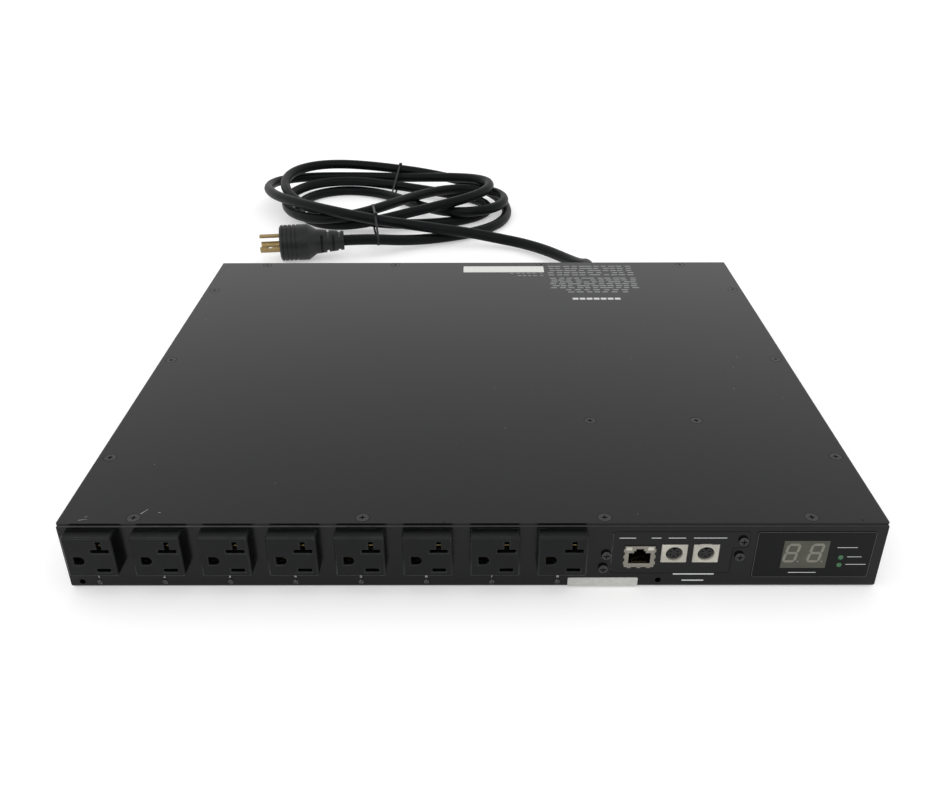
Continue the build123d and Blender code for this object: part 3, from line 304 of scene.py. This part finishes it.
def powder_coat():
    """Satin black powder coat with a faint orange peel."""
    low, high = (0.0022, 0.0024, 0.0026), (0.0028, 0.003, 0.0032)
    material, tree, shader = new_material("black_powder_coat", (0.003, 0.0032, 0.0034), 0.3)
    shader.inputs["IOR"].default_value = 1.315
    vary_color(tree, shader, noise(tree, 9.0), low, high)
    vary_rough(tree, shader, noise(tree, 220.0, 2.0), 0.2, 0.25)
    add_bump(tree, shader, noise(tree, 1400.0, 1.0), 0.00002, 0.5)
    return material


def grained_plastic(name, color, rough, grain=2200.0, ior=1.4, edge_highlight=None):
    """Moulded plastic with a fine spark grain, and painted highlights along its edges where
    edge_highlight gives their colour.
    """
    material, tree, shader = new_material(name, color, rough)
    shader.inputs["IOR"].default_value = ior
    low = tuple(v * 0.85 for v in color)
    high = tuple(v * 1.15 for v in color)
    if edge_highlight:
        plain = two_shades(tree, noise(tree, 60.0), low, high)
        # Painted highlight along the edges, over the drifting colour
        worn_edges(tree, shader, plain, edge_highlight, 0.5 * MM)
    else:
        vary_color(tree, shader, noise(tree, 60.0), low, high)
    vary_rough(tree, shader, noise(tree, 90.0, 2.0), rough - 0.05, rough + 0.06)
    add_bump(tree, shader, noise(tree, grain, 1.0), 0.00002, 0.6)
    return material


def plated_metal(name, color, rough, streak=None):
    """Plated or bare metal with slightly uneven gloss."""
    material, tree, shader = new_material(name, color, rough, 1.0)
    vary_color(tree, shader, noise(tree, 120.0), tuple(v * 0.86 for v in color), color)
    vary_rough(tree, shader, noise(tree, 260.0, 2.0, streak), rough - 0.08, rough + 0.1)
    return material


def smooth_film():
    """Smooth dark film over the display corner."""
    material, tree, shader = new_material("black_film", (0.0022, 0.0024, 0.0026), 0.24)
    shader.inputs["IOR"].default_value = 1.24
    vary_rough(tree, shader, noise(tree, 80.0, 2.0), 0.2, 0.3)
    return material


def jacket_rubber():
    """Satin rubber jacket of the cord, with a faint dusty bloom."""
    low, high = (0.0024, 0.003, 0.0034), (0.0038, 0.0046, 0.005)
    material, tree, shader = new_material("cord_jacket", (0.0035, 0.0042, 0.0046), 0.42)
    shader.inputs["IOR"].default_value = 1.36
    shader.inputs["Specular IOR Level"].default_value = 0.18
    vary_color(tree, shader, noise(tree, 45.0), low, high)
    vary_rough(tree, shader, noise(tree, 140.0), 0.38, 0.48)
    add_bump(tree, shader, noise(tree, 700.0, 2.0), 0.00003, 0.4)
    return material


def lens_glass(name, color):
    """Clear or tinted lens of a small lamp."""
    material, tree, shader = new_material(name, color, 0.12)
    shader.inputs["IOR"].default_value = 1.45
    shader.inputs["Transmission Weight"].default_value = 0.35
    vary_color(tree, shader, noise(tree, 900.0, 1.0), tuple(v * 0.7 for v in color), color)
    return material


def flat_print(name, color, rough=0.6):
    """Printing ink or label paper, faintly mottled."""
    material, tree, shader = new_material(name, color, rough)
    vary_color(tree, shader, noise(tree, 500.0, 2.0), tuple(v * 0.9 for v in color), color)
    return material


jacket = jacket_rubber()
nickel = plated_metal("nickel_plating", (0.25, 0.235, 0.205), 0.3)
moulded_black = grained_plastic("moulded_black", (0.006, 0.0068, 0.0075), 0.46, ior=1.38)
port_cream = grained_plastic("port_shell", (0.5, 0.48, 0.42), 0.45)
segment_cream = flat_print("unlit_segment", (0.19, 0.185, 0.15), 0.5)
ink_white = flat_print("white_ink", (0.62, 0.63, 0.63))
ink_grey = flat_print("grey_ink", (0.27, 0.275, 0.28))
line_grey = flat_print("film_line_ink", (0.09, 0.09, 0.09))
label_white = flat_print("label_paper", (0.72, 0.72, 0.69))
label_dull = flat_print("dull_label_paper", (0.56, 0.56, 0.53))
bare_metal = plated_metal("worn_bare_metal", (0.5, 0.5, 0.5), 0.4)
# Near black for painted shade in the gaps round the screw heads and in two edge nicks
painted_shade_black = flat_print("painted_shade_black", (0.0015, 0.0015, 0.0016), 0.9)
# Lighter coat for the painted highlight on the tray's front bend
painted_highlight_coat = plated_metal("painted_highlight_coat", (0.042, 0.042, 0.042), 0.35)

# The finish of each slot in the record
FINISHES = {
    "black_coat": powder_coat(),
    "black_screw": plated_metal("black_oxide", (0.06, 0.06, 0.062), 0.36),
    # Socket plastic, its edges painted lighter as highlights
    "socket_plastic": grained_plastic(
        "socket_plastic", (0.0024, 0.0027, 0.0028), 0.4, ior=1.27, edge_highlight=(0.09, 0.095, 0.1),
    ),
    "contact_brass": plated_metal("contact_brass", (0.33, 0.24, 0.11), 0.36),
    "gold_plate": plated_metal("gold_plating", (0.86, 0.62, 0.26), 0.22),
    "circuit_board": grained_plastic("solder_mask", (0.02, 0.12, 0.05), 0.35, 900.0),
    "relay_plastic": moulded_black,
    "clear_lamp": lens_glass("clear_lens", (0.045, 0.047, 0.045)),
    "green_lamp": lens_glass("green_lens", (0.05, 0.22, 0.08)),
    "black_film": smooth_film(),
    "display_grey": grained_plastic("display_grey", (0.062, 0.062, 0.048), 0.4),
    "nickel_plate": nickel,
    "port_shell": port_cream,
    "black_insert": grained_plastic("insert_plastic", (0.004, 0.004, 0.0045), 0.4),
    "zinc_steel": plated_metal("zinc_plating", (0.62, 0.63, 0.64), 0.34),
    "black_nylon": moulded_black,
    "core_steel": plated_metal("varnished_laminations", (0.2, 0.2, 0.21), 0.45, (1, 1, 60)),
    "winding_tape": grained_plastic("winding_tape", (0.55, 0.42, 0.1), 0.5),
    "capacitor_sleeve": grained_plastic("capacitor_sleeve", (0.05, 0.07, 0.15), 0.3),
    "sensor_resin": grained_plastic("potting_resin", (0.1, 0.14, 0.28), 0.4),
    "terminal_plastic": grained_plastic("terminal_plastic", (0.5, 0.5, 0.47), 0.5),
    "copper": plated_metal("bare_copper", (0.75, 0.36, 0.22), 0.3),
    "cord_rubber": jacket,
    "plug_rubber": moulded_black,
}


def paint_solids():
    """Gives each solid the finish of its slot."""
    for entry in frame["record"]["subparts"]:
        for place in nodes[entry["node"]].material_slots:
            place.material = FINISHES[entry["material_slot"]]


paint_solids()
cord.data.materials.append(jacket)


# How the small pieces are made

def add_piece(name, mesh, material):
    """Links a finished mesh, paints it and lets it ride on the unit."""
    piece = add_to_scene(name, mesh)
    mesh.materials.append(material)
    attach(piece, "root")
    return piece


def mesh_of(name, shape, scale=MM):
    """Mesh of a bmesh, brought to metres, with its faces turned outwards."""
    bmesh.ops.scale(shape, vec=(scale, scale, scale), verts=shape.verts)
    bmesh.ops.recalc_face_normals(shape, faces=shape.faces)
    mesh = bpy.data.meshes.new(name)
    shape.to_mesh(mesh)
    shape.free()
    return mesh


def join_rings(shape, a, b):
    """Faces between two rings of as many points."""
    for i in range(len(a)):
        j = (i + 1) % len(a)
        shape.faces.new((a[i], b[i], b[j], a[j]))


def add_prism(shape, outline, lift, depth):
    """Closed prism: outline points lifted by lift (a function to 3-D), going back by depth."""
    near = [shape.verts.new(lift(u, v, 0.0)) for u, v in outline]
    far = [shape.verts.new(lift(u, v, depth)) for u, v in outline]
    shape.faces.new(near)
    shape.faces.new(list(reversed(far)))
    join_rings(shape, near, far)


def add_frame(shape, outer, inner, lift, depth):
    """Closed ring between two outlines with the same number of points."""
    rings = []
    for outline, at in ((outer, 0.0), (outer, depth), (inner, depth), (inner, 0.0)):
        rings.append([shape.verts.new(lift(u, v, at)) for u, v in outline])
    for a, b in zip(rings, rings[1:] + rings[:1]):
        join_rings(shape, a, b)


def on_front(x, z, out):
    """Place on the front panel, out millimetres in front of it."""
    return (x, FRONT_Y - out, z)


def in_front(stand):
    """Lift to a plane that stands that far out of the front panel."""
    return lambda x, z, out: on_front(x, z, stand + out)


def on_top(x, y, out):
    """Place on the cover, out millimetres above it."""
    return (x, y, TOP_Z + out)


def circle(cx, cy, r, count):
    """Outline of a circle."""
    angles = [2 * math.pi * i / count for i in range(count)]
    return [(cx + r * math.cos(a), cy + r * math.sin(a)) for a in angles]


def round_box(x0, x1, z0, z1, r, steps=5):
    """Outline of a rectangle with rounded corners."""
    corners = (
        (x1 - r, z1 - r, 0), (x0 + r, z1 - r, 90), (x0 + r, z0 + r, 180), (x1 - r, z0 + r, 270),
    )
    points = []
    for cx, cz, start in corners:
        for i in range(steps + 1):
            a = math.radians(start + 90 * i / steps)
            points.append((cx + r * math.cos(a), cz + r * math.sin(a)))
    return points


def box_round(x, z, half_w, half_h, r):
    """Outline of a small rectangle round its middle, with rounded corners."""
    return round_box(x - half_w, x + half_w, z - half_h, z + half_h, r, 2)


def rule(x0, x1, z, high):
    """Outline of a printed rule with rounded ends."""
    return round_box(x0, x1, z - high / 2, z + high / 2, high * 0.45, 2)


# Print, labels and the display

def outlet_numbers():
    """Plain numbers over the outlet lights, printed on the front."""
    high, thick, out, left_of_middle, z = 3.1, 0.02, 0.03, 1.5, 8.1
    joined = bmesh.new()
    for number, x in enumerate(SOCKET_XS, 1):
        data = bpy.data.curves.new("number", "FONT")
        data.body = str(number)
        data.size = high * MM
        data.extrude = thick * MM
        data.align_x = "CENTER"
        data.align_y = "CENTER"
        text = add_to_scene("number", data)
        mesh = bpy.data.meshes.new_from_object(worked_out(text))
        place = Matrix.Translation(Vector(on_front(x - left_of_middle, z, out)) * MM)
        mesh.transform(place @ Matrix.Rotation(math.pi / 2, 4, "X"))
        bpy.data.objects.remove(text)
        joined.from_mesh(mesh)
        bpy.data.meshes.remove(mesh)
    bmesh.ops.remove_doubles(joined, verts=joined.verts, dist=1e-7)
    add_piece("outlet_numbers", mesh_of("outlet_numbers", joined, 1.0), ink_white)


def printed_rules():
    """Plain rules where the panel, the film and the cover have their printed words."""
    shape = bmesh.new()
    for x0, x1, z, high in (
        (79.0, 88.0, 34.1, 0.45), (96.2, 101.6, 34.1, 0.45), (105.4, 114.8, 34.1, 0.45),
        (118.9, 136.9, 34.1, 0.45), (110.0, 132.6, 9.4, 0.8), (115.2, 127.4, 5.0, 0.8),
    ):
        add_prism(shape, rule(x0, x1, z, high), on_front, INK)
    for i in range(7):
        x = 80.6 + 5.7 * i
        add_prism(shape, round_box(x, x + 4.6, 107.6, 111.4, 0.4, 2), on_top, INK)
    for x0, x1, z, high in (
        (197.0, 208.0, 27.7, 0.35), (203.4, 211.3, 21.4, 0.35), (203.4, 214.5, 16.2, 0.35),
        (173.0, 188.3, 10.6, 0.4),
    ):
        add_prism(shape, rule(x0, x1, z, high), in_front(FILM_OUT), THIN_INK)
    add_piece("printed_rules", mesh_of("printed_rules", shape), ink_white)


def film_border():
    """Thin line round the display's film."""
    shape = bmesh.new()
    outer = round_box(153.2, 216.6, 7.4, 38.1, 1.4)
    inner = round_box(153.38, 216.42, 7.58, 37.92, 1.25)
    add_frame(shape, outer, inner, in_front(FILM_OUT), FILM_LINE)
    add_piece("film_border", mesh_of("film_border", shape), line_grey)


def blank_labels():
    """Bare white labels, one on the front and one at the cover's back edge."""
    for name, outline, lift, thick, paper in (
        ("front_label", round_box(52.5, 91.1, 0.9, 6.9, 0.8), on_front, 0.12, label_dull),
        ("cover_label", round_box(-8.7, 61.1, 167.3, 181.1, 0.5), on_top, 0.1, label_white),
    ):
        shape = bmesh.new()
        add_prism(shape, outline, lift, thick)
        add_piece(name, mesh_of(name, shape), paper)


def digit_segments():
    """Unlit bars of the two-digit display, leaning as such digits do, with their dots."""
    shape = bmesh.new()
    lean = math.tan(math.radians(9.0))
    mid_z, high, wide, bar = 24.0, 12.8, 7.5, 1.5
    half, gap, end = bar / 2, 0.12, 0.6 * bar
    low, top = mid_z - high / 2, mid_z + high / 2

    def lift(x, z, out):
        return on_front(x + (z - mid_z) * lean, z, MODULE_OUT + out)

    for left in (169.2, 182.2):
        right = left + wide
        x0, x1 = left + half, right - half
        for z in (low + half, mid_z, top - half):
            add_prism(shape, (
                (x0, z), (x0 + half, z - half), (x1 - half, z - half),
                (x1, z), (x1 - half, z + half), (x0 + half, z + half),
            ), lift, INK)
        for x in (x0, x1):
            for z0, z1 in ((low + end, mid_z - gap), (mid_z + gap, top - end)):
                add_prism(shape, (
                    (x, z0), (x + half, z0 + half), (x + half, z1 - half),
                    (x, z1), (x - half, z1 - half), (x - half, z0 + half),
                ), lift, INK)
        add_prism(shape, circle(right + 1.3, low + 0.6, 0.55, 12), lift, INK)
    add_piece("digit_segments", mesh_of("digit_segments", shape), segment_cream)


def print_tree(name, material, middle, columns, values):
    """Node tree that sets plain dashes in rows, some shorter, some shifted, a few left out."""
    tree = bpy.data.node_groups.new(name, "GeometryNodeTree")
    shortest, longest, kept, shifted = 0.75, 1.05, 0.99, 1.3 * MM
    identifiers = {}
    for label, value in values.items():
        kind = "NodeSocketInt" if isinstance(value, int) else "NodeSocketFloat"
        socket = tree.interface.new_socket(label, in_out="INPUT", socket_type=kind)
        socket.default_value = value
        identifiers[socket.identifier] = value
    tree.interface.new_socket("Geometry", in_out="OUTPUT", socket_type="NodeSocketGeometry")
    make, link = tree.nodes.new, tree.links.new
    given = make("NodeGroupInput").outputs

    grid = make("GeometryNodeMeshGrid")
    grid.inputs["Vertices X"].default_value = columns
    link(given["Width"], grid.inputs["Size X"])
    link(given["Depth"], grid.inputs["Size Y"])
    link(given["Rows"], grid.inputs["Vertices Y"])

    size = make("ShaderNodeCombineXYZ")
    link(given["Dash"], size.inputs["X"])
    link(given["Line"], size.inputs["Y"])
    size.inputs["Z"].default_value = THIN_INK * MM
    dash = make("GeometryNodeMeshCube")
    link(size.outputs["Vector"], dash.inputs["Size"])

    length = make("FunctionNodeRandomValue")
    length.inputs[2].default_value = shortest
    length.inputs[3].default_value = longest
    link(given["Seed"], length.inputs["Seed"])
    stretch = make("ShaderNodeCombineXYZ")
    link(length.outputs[1], stretch.inputs["X"])
    stretch.inputs["Y"].default_value = 1.0
    stretch.inputs["Z"].default_value = 1.0

    keep = make("FunctionNodeRandomValue")
    keep.data_type = "BOOLEAN"
    keep.inputs["Probability"].default_value = kept
    link(given["Seed"], keep.inputs["Seed"])

    shift = make("FunctionNodeRandomValue")
    shift.data_type = "FLOAT_VECTOR"
    shift.inputs["Min"].default_value = (-shifted, 0.0, 0.0)
    shift.inputs["Max"].default_value = (shifted, 0.0, 0.0)
    link(given["Seed"], shift.inputs["Seed"])
    moved = make("GeometryNodeSetPosition")
    link(grid.outputs["Mesh"], moved.inputs["Geometry"])
    link(shift.outputs["Value"], moved.inputs["Offset"])

    spread = make("GeometryNodeInstanceOnPoints")
    link(moved.outputs["Geometry"], spread.inputs["Points"])
    link(dash.outputs["Mesh"], spread.inputs["Instance"])
    link(stretch.outputs["Vector"], spread.inputs["Scale"])
    link(keep.outputs[3], spread.inputs["Selection"])
    move = make("GeometryNodeTransform")
    move.inputs["Translation"].default_value = middle
    link(spread.outputs["Instances"], move.inputs["Geometry"])
    real = make("GeometryNodeRealizeInstances")
    link(move.outputs["Geometry"], real.inputs["Geometry"])
    paint = make("GeometryNodeSetMaterial")
    paint.inputs["Material"].default_value = material
    link(real.outputs["Geometry"], paint.inputs["Geometry"])
    link(paint.outputs["Geometry"], make("NodeGroupOutput").inputs["Geometry"])
    return tree, identifiers


def fine_print(name, x0, x1, y0, y1, rows, seed, dash=(5.4, 1.7), pitch=5.8):
    """Rows of short plain dashes on the cover, where it has its fine print."""
    values = {
        "Width": (x1 - x0) * MM, "Depth": (y1 - y0) * MM, "Dash": dash[0] * MM,
        "Line": dash[1] * MM, "Rows": rows, "Seed": seed,
    }
    middle = [v * MM for v in on_top((x0 + x1) / 2, (y0 + y1) / 2, THIN_INK)]
    columns = max(3, int((x1 - x0) / pitch))
    tree, identifiers = print_tree(name, ink_grey, middle, columns, values)
    holder = add_to_scene(name, bpy.data.meshes.new(name))
    modifier = holder.modifiers.new("rows", "NODES")
    modifier.node_group = tree
    for identifier, value in identifiers.items():
        modifier[identifier] = value
    mesh = bpy.data.meshes.new_from_object(worked_out(holder))
    bpy.data.objects.remove(holder)
    mesh.materials.clear()
    add_piece(name, mesh, ink_grey)


# Wear, painted highlight and shade, and the jack's shield

def cover_wear():
    """Scratch, specks and small scuffs on the cover, where the coat is rubbed."""
    random.seed(4)
    shape = bmesh.new()
    for (x0, y0), (x1, y1), wide in (
        ((-179.6, -182.2), (-176.4, -177.4), 0.45),
        ((-170.3, -180.6), (-168.8, -180.4), 0.4),
        ((-211.5, -187.4), (-206.4, -186.4), 0.3),
        ((-209.2, -184.6), (-207.2, -184.0), 0.25),
    ):
        run = Vector((x1 - x0, y1 - y0)).normalized()
        side = Vector((-run.y, run.x)) * wide / 2
        start, end = Vector((x0, y0)), Vector((x1, y1))
        add_prism(shape, (
            start, start + run + side, end + side * 0.3, end - side * 0.3, start + run - side,
        ), on_top, WEAR)
    for _ in range(16):
        x, y = random.uniform(-212, 212), random.uniform(-184, 120)
        r = random.uniform(0.12, 0.3)
        speck = [
            (x + u * random.uniform(0.6, 1.2), y + v * random.uniform(0.6, 1.2))
            for u, v in circle(0.0, 0.0, r, 7)
        ]
        add_prism(shape, speck, on_top, WEAR)
    add_piece("cover_wear", mesh_of("cover_wear", shape), bare_metal)


def rubbed_front_edge():
    """Narrow line of lighter coat along the tray's front bend, under the cover's edge, painted as
    the bend's highlight.
    """
    random.seed(11)
    shape = bmesh.new()
    end_x, above, below = 221.6, 0.03, 0.1
    bend = ((-190.5, 41.55), (-190.36, 42.0), (-190.08, 42.4))
    x = -end_x
    while x < 221.0:
        far = min(x + random.uniform(18.0, 70.0), end_x)
        low = random.uniform(0.0, 0.1)
        lines = [(y, z + (low if k == 0 else 0.0)) for k, (y, z) in enumerate(bend)]
        outline = [(y - above, z) for y, z in lines] + [(y + below, z) for y, z in lines[::-1]]
        near_end = [shape.verts.new((x, y, z)) for y, z in outline]
        far_end = [shape.verts.new((far, y, z)) for y, z in outline]
        join_rings(shape, near_end, far_end)
        shape.faces.new(near_end[::-1])
        shape.faces.new(far_end)
        x = far + random.choice((0.0, 0.0, 0.2))
    add_piece("rubbed_front_edge", mesh_of("rubbed_front_edge", shape), painted_highlight_coat)


def jack_trim():
    """Lamp windows and spring fingers of the network jack's shield, and a port's shield tab."""
    shape = bmesh.new()
    window_out, tab_out, finger_out = 0.12, 0.7, 0.6
    for x in (84.8, 96.6):
        window = round_box(x - 1.6, x + 1.6, 26.2, 28.3, 0.2, 2)
        add_prism(shape, window, in_front(JACK_OUT), window_out)
    add_prism(shape, round_box(122.6, 129.4, 29.55, 30.1, 0.2, 2), on_front, tab_out)
    add_piece("jack_lamp_windows", mesh_of("jack_lamp_windows", shape), port_cream)
    shape = bmesh.new()
    thin, long = 0.35, 1.1
    for x in (82.35, 99.05):
        for z in (17.6, 21.8, 26.0):
            add_prism(shape, box_round(x, z, thin, long, 0.15), on_front, finger_out)
    for x in (85.4, 90.7, 96.0):
        add_prism(shape, box_round(x, 14.45, long, thin, 0.15), on_front, finger_out)
    add_piece("jack_spring_fingers", mesh_of("jack_spring_fingers", shape), nickel)


def screw_middles():
    """Middle of each cover screw's head, from the solids' points."""
    head_wide = 9.0
    groups = []
    for vertex in nodes["cover_screws"].data.vertices:
        place = vertex.co.xy / MM
        for group in groups:
            if (group[0] - place).length < head_wide:
                group.append(place)
                break
        else:
            groups.append([place])
    for group in groups:
        xs, ys = [p.x for p in group], [p.y for p in group]
        yield (min(xs) + max(xs)) / 2, (min(ys) + max(ys)) / 2


def screw_gaps():
    """Dark painted shade in the gap round each cover screw's head, and in two nicks in the
    cover's front edge.
    """
    shape = bmesh.new()
    shade_outer_r, head_r, sides, thick = 3.95, 3.5, 28, 0.03
    for x, y in screw_middles():
        add_frame(shape, circle(x, y, shade_outer_r, sides), circle(x, y, head_r, sides), on_top, thick)
    for x, y in ((-15.0, -189.2), (208.3, -188.0)):
        add_prism(shape, box_round(x, y, 0.8, 0.7, 0.3), on_top, thick)
    add_piece("painted_shade_rings", mesh_of("painted_shade_rings", shape), painted_shade_black)


# Cord ties

def hull_outline(points):
    """Convex outline round flat points, in order."""
    ordered = sorted(set(points))

    def half(sequence):
        chain = []
        for p in sequence:
            while len(chain) > 1:
                (ax, ay), (bx, by) = chain[-2], chain[-1]
                if (bx - ax) * (p[1] - ay) - (by - ay) * (p[0] - ax) > 0:
                    break
                chain.pop()
            chain.append(p)
        return chain[:-1]

    return half(ordered) + half(reversed(ordered))


def cord_crossings(middle, along, across, reach):
    """Where the cord passes a tie: its places across the turns, and their heights."""
    for a, b in zip(cord_line, cord_line[1:]):
        da = (a / MM - middle).dot(along)
        db = (b / MM - middle).dot(along)
        if da * db > 0 or da == db:
            continue
        place = (a + (b - a) * (da / (da - db))) / MM - middle
        if abs(place.dot(across)) <= reach:
            yield place.dot(across), place.z


def tie_outlines(crossings):
    """Inner and outer outline of a tie pulled round its turns, off the floor."""
    inner_low, outer_low = 0.7, 0.1
    round_cord = []
    for across, z in crossings:
        for u, v in circle(across, z, CORD_R + TIE_ROOM, 16):
            round_cord.append((round(u, 3), round(max(v, inner_low), 3)))
    inner = hull_outline(round_cord)
    middle = Vector((sum(u for u, _ in inner), sum(v for _, v in inner))) / len(inner)
    outer = []
    for u, v in inner:
        away = (Vector((u, v)) - middle).normalized() * TIE_T
        outer.append((u + away.x, max(v + away.y, outer_low)))
    return inner, outer


def cord_ties():
    """Thin ties pulled round the turns, each with its small head."""
    shape = bmesh.new()
    foot_half, tip_half, sunk, rise, head_w = 1.8, 1.6, 0.5, 1.4, 3.4
    for x, y, turn, reach in TIES:
        turn = math.radians(turn)
        along = Vector((math.cos(turn), math.sin(turn), 0))
        across = Vector((-math.sin(turn), math.cos(turn), 0))
        middle = Vector((x, y, 0))
        inner, outer = tie_outlines(cord_crossings(middle, along, across, reach))

        def lift(u, v, back, along=along, across=across, middle=middle):
            return tuple(middle + across * u + along * (back - TIE_W / 2) + Vector((0, 0, v)))

        add_frame(shape, outer, inner, lift, TIE_W)
        top = max(v for _, v in outer)
        head = [u for u, v in outer if v > top - 0.3][0]
        add_prism(shape, (
            (head - foot_half, top - sunk), (head + foot_half, top - sunk),
            (head + tip_half, top + rise), (head - tip_half, top + rise),
        ), lift, head_w)
    piece = add_piece("tie_bands", mesh_of("tie_bands", shape), moulded_black)
    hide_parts("cord_ties")
    return piece


outlet_numbers()
printed_rules()
film_border()
blank_labels()
digit_segments()
cover_wear()
# Painted highlight along the tray's front bend
rubbed_front_edge()
jack_trim()
# Painted shade round the cover screws' heads and in two edge nicks
screw_gaps()
fine_print("cover_print_block", 67.0, 135.0, 161.0, 181.0, 5, 7)
fine_print("cover_print_rows", 68.0, 135.0, 132.5, 153.5, 6, 5)
fine_print("cover_print_end", 80.0, 125.0, 123.5, 128.0, 2, 9)
fine_print("cover_print_note", 34.0, 58.0, 159.5, 165.0, 2, 3, (3.0, 1.2), 3.6)
tie_bands = cord_ties()
tuple(v * MM for v in LEAD_ROUTE[0])


# Studio: pale floor, white surroundings, soft lamp

def make_floor():
    """Wide pale floor under the unit, shown as white away from the unit's shadow."""
    shape = bmesh.new()
    bmesh.ops.create_grid(shape, x_segments=1, y_segments=1, size=FLOOR_SIZE)
    mesh = mesh_of("floor", shape)
    floor = add_to_scene("floor", mesh)
    material, tree, shader = new_material("floor_white", (FLOOR_SHADE,) * 3, 0.8)
    shader.inputs["Specular IOR Level"].default_value = 0.1
    paths = tree.nodes.new("ShaderNodeLightPath")
    shown = paths.outputs["Is Camera Ray"]
    for kind in ("Is Glossy Ray", "Is Transmission Ray"):
        shown = math_node(tree, "MAXIMUM", shown, paths.outputs[kind])
    emission = tree.nodes.new("ShaderNodeEmission")
    glow = map_range(tree, shown, to_max=FLOOR_GLOW)
    tree.links.new(glow, emission.inputs["Strength"])
    both = tree.nodes.new("ShaderNodeAddShader")
    tree.links.new(shader.outputs["BSDF"], both.inputs[0])
    tree.links.new(emission.outputs["Emission"], both.inputs[1])
    tree.links.new(both.outputs["Shader"], tree.nodes["Material Output"].inputs["Surface"])
    mesh.materials.append(material)


def make_surroundings():
    """Even white surroundings, at which a colour shows as it is."""
    world = bpy.data.worlds.new("studio")
    bpy.context.scene.world = world
    world.use_nodes = True
    background = world.node_tree.nodes["Background"]
    background.inputs["Color"].default_value = (1.0, 1.0, 1.0, 1.0)
    background.inputs["Strength"].default_value = 1.0


def soft_lamp(name, place, size, watts):
    """Square soft lamp pointed at the middle of the unit's base."""
    data = bpy.data.lights.new(name, "AREA")
    data.size = size
    data.energy = watts
    lamp = add_to_scene(name, data)
    lamp.location = place
    lamp.rotation_euler = (-Vector(place)).to_track_quat("-Z", "Y").to_euler()


make_floor()
make_surroundings()
soft_lamp("front_lamp", (-0.7, -1.7, 1.5), 0.9, LAMP_WATTS)
bpy.context.scene.view_settings.view_transform = "Standard"
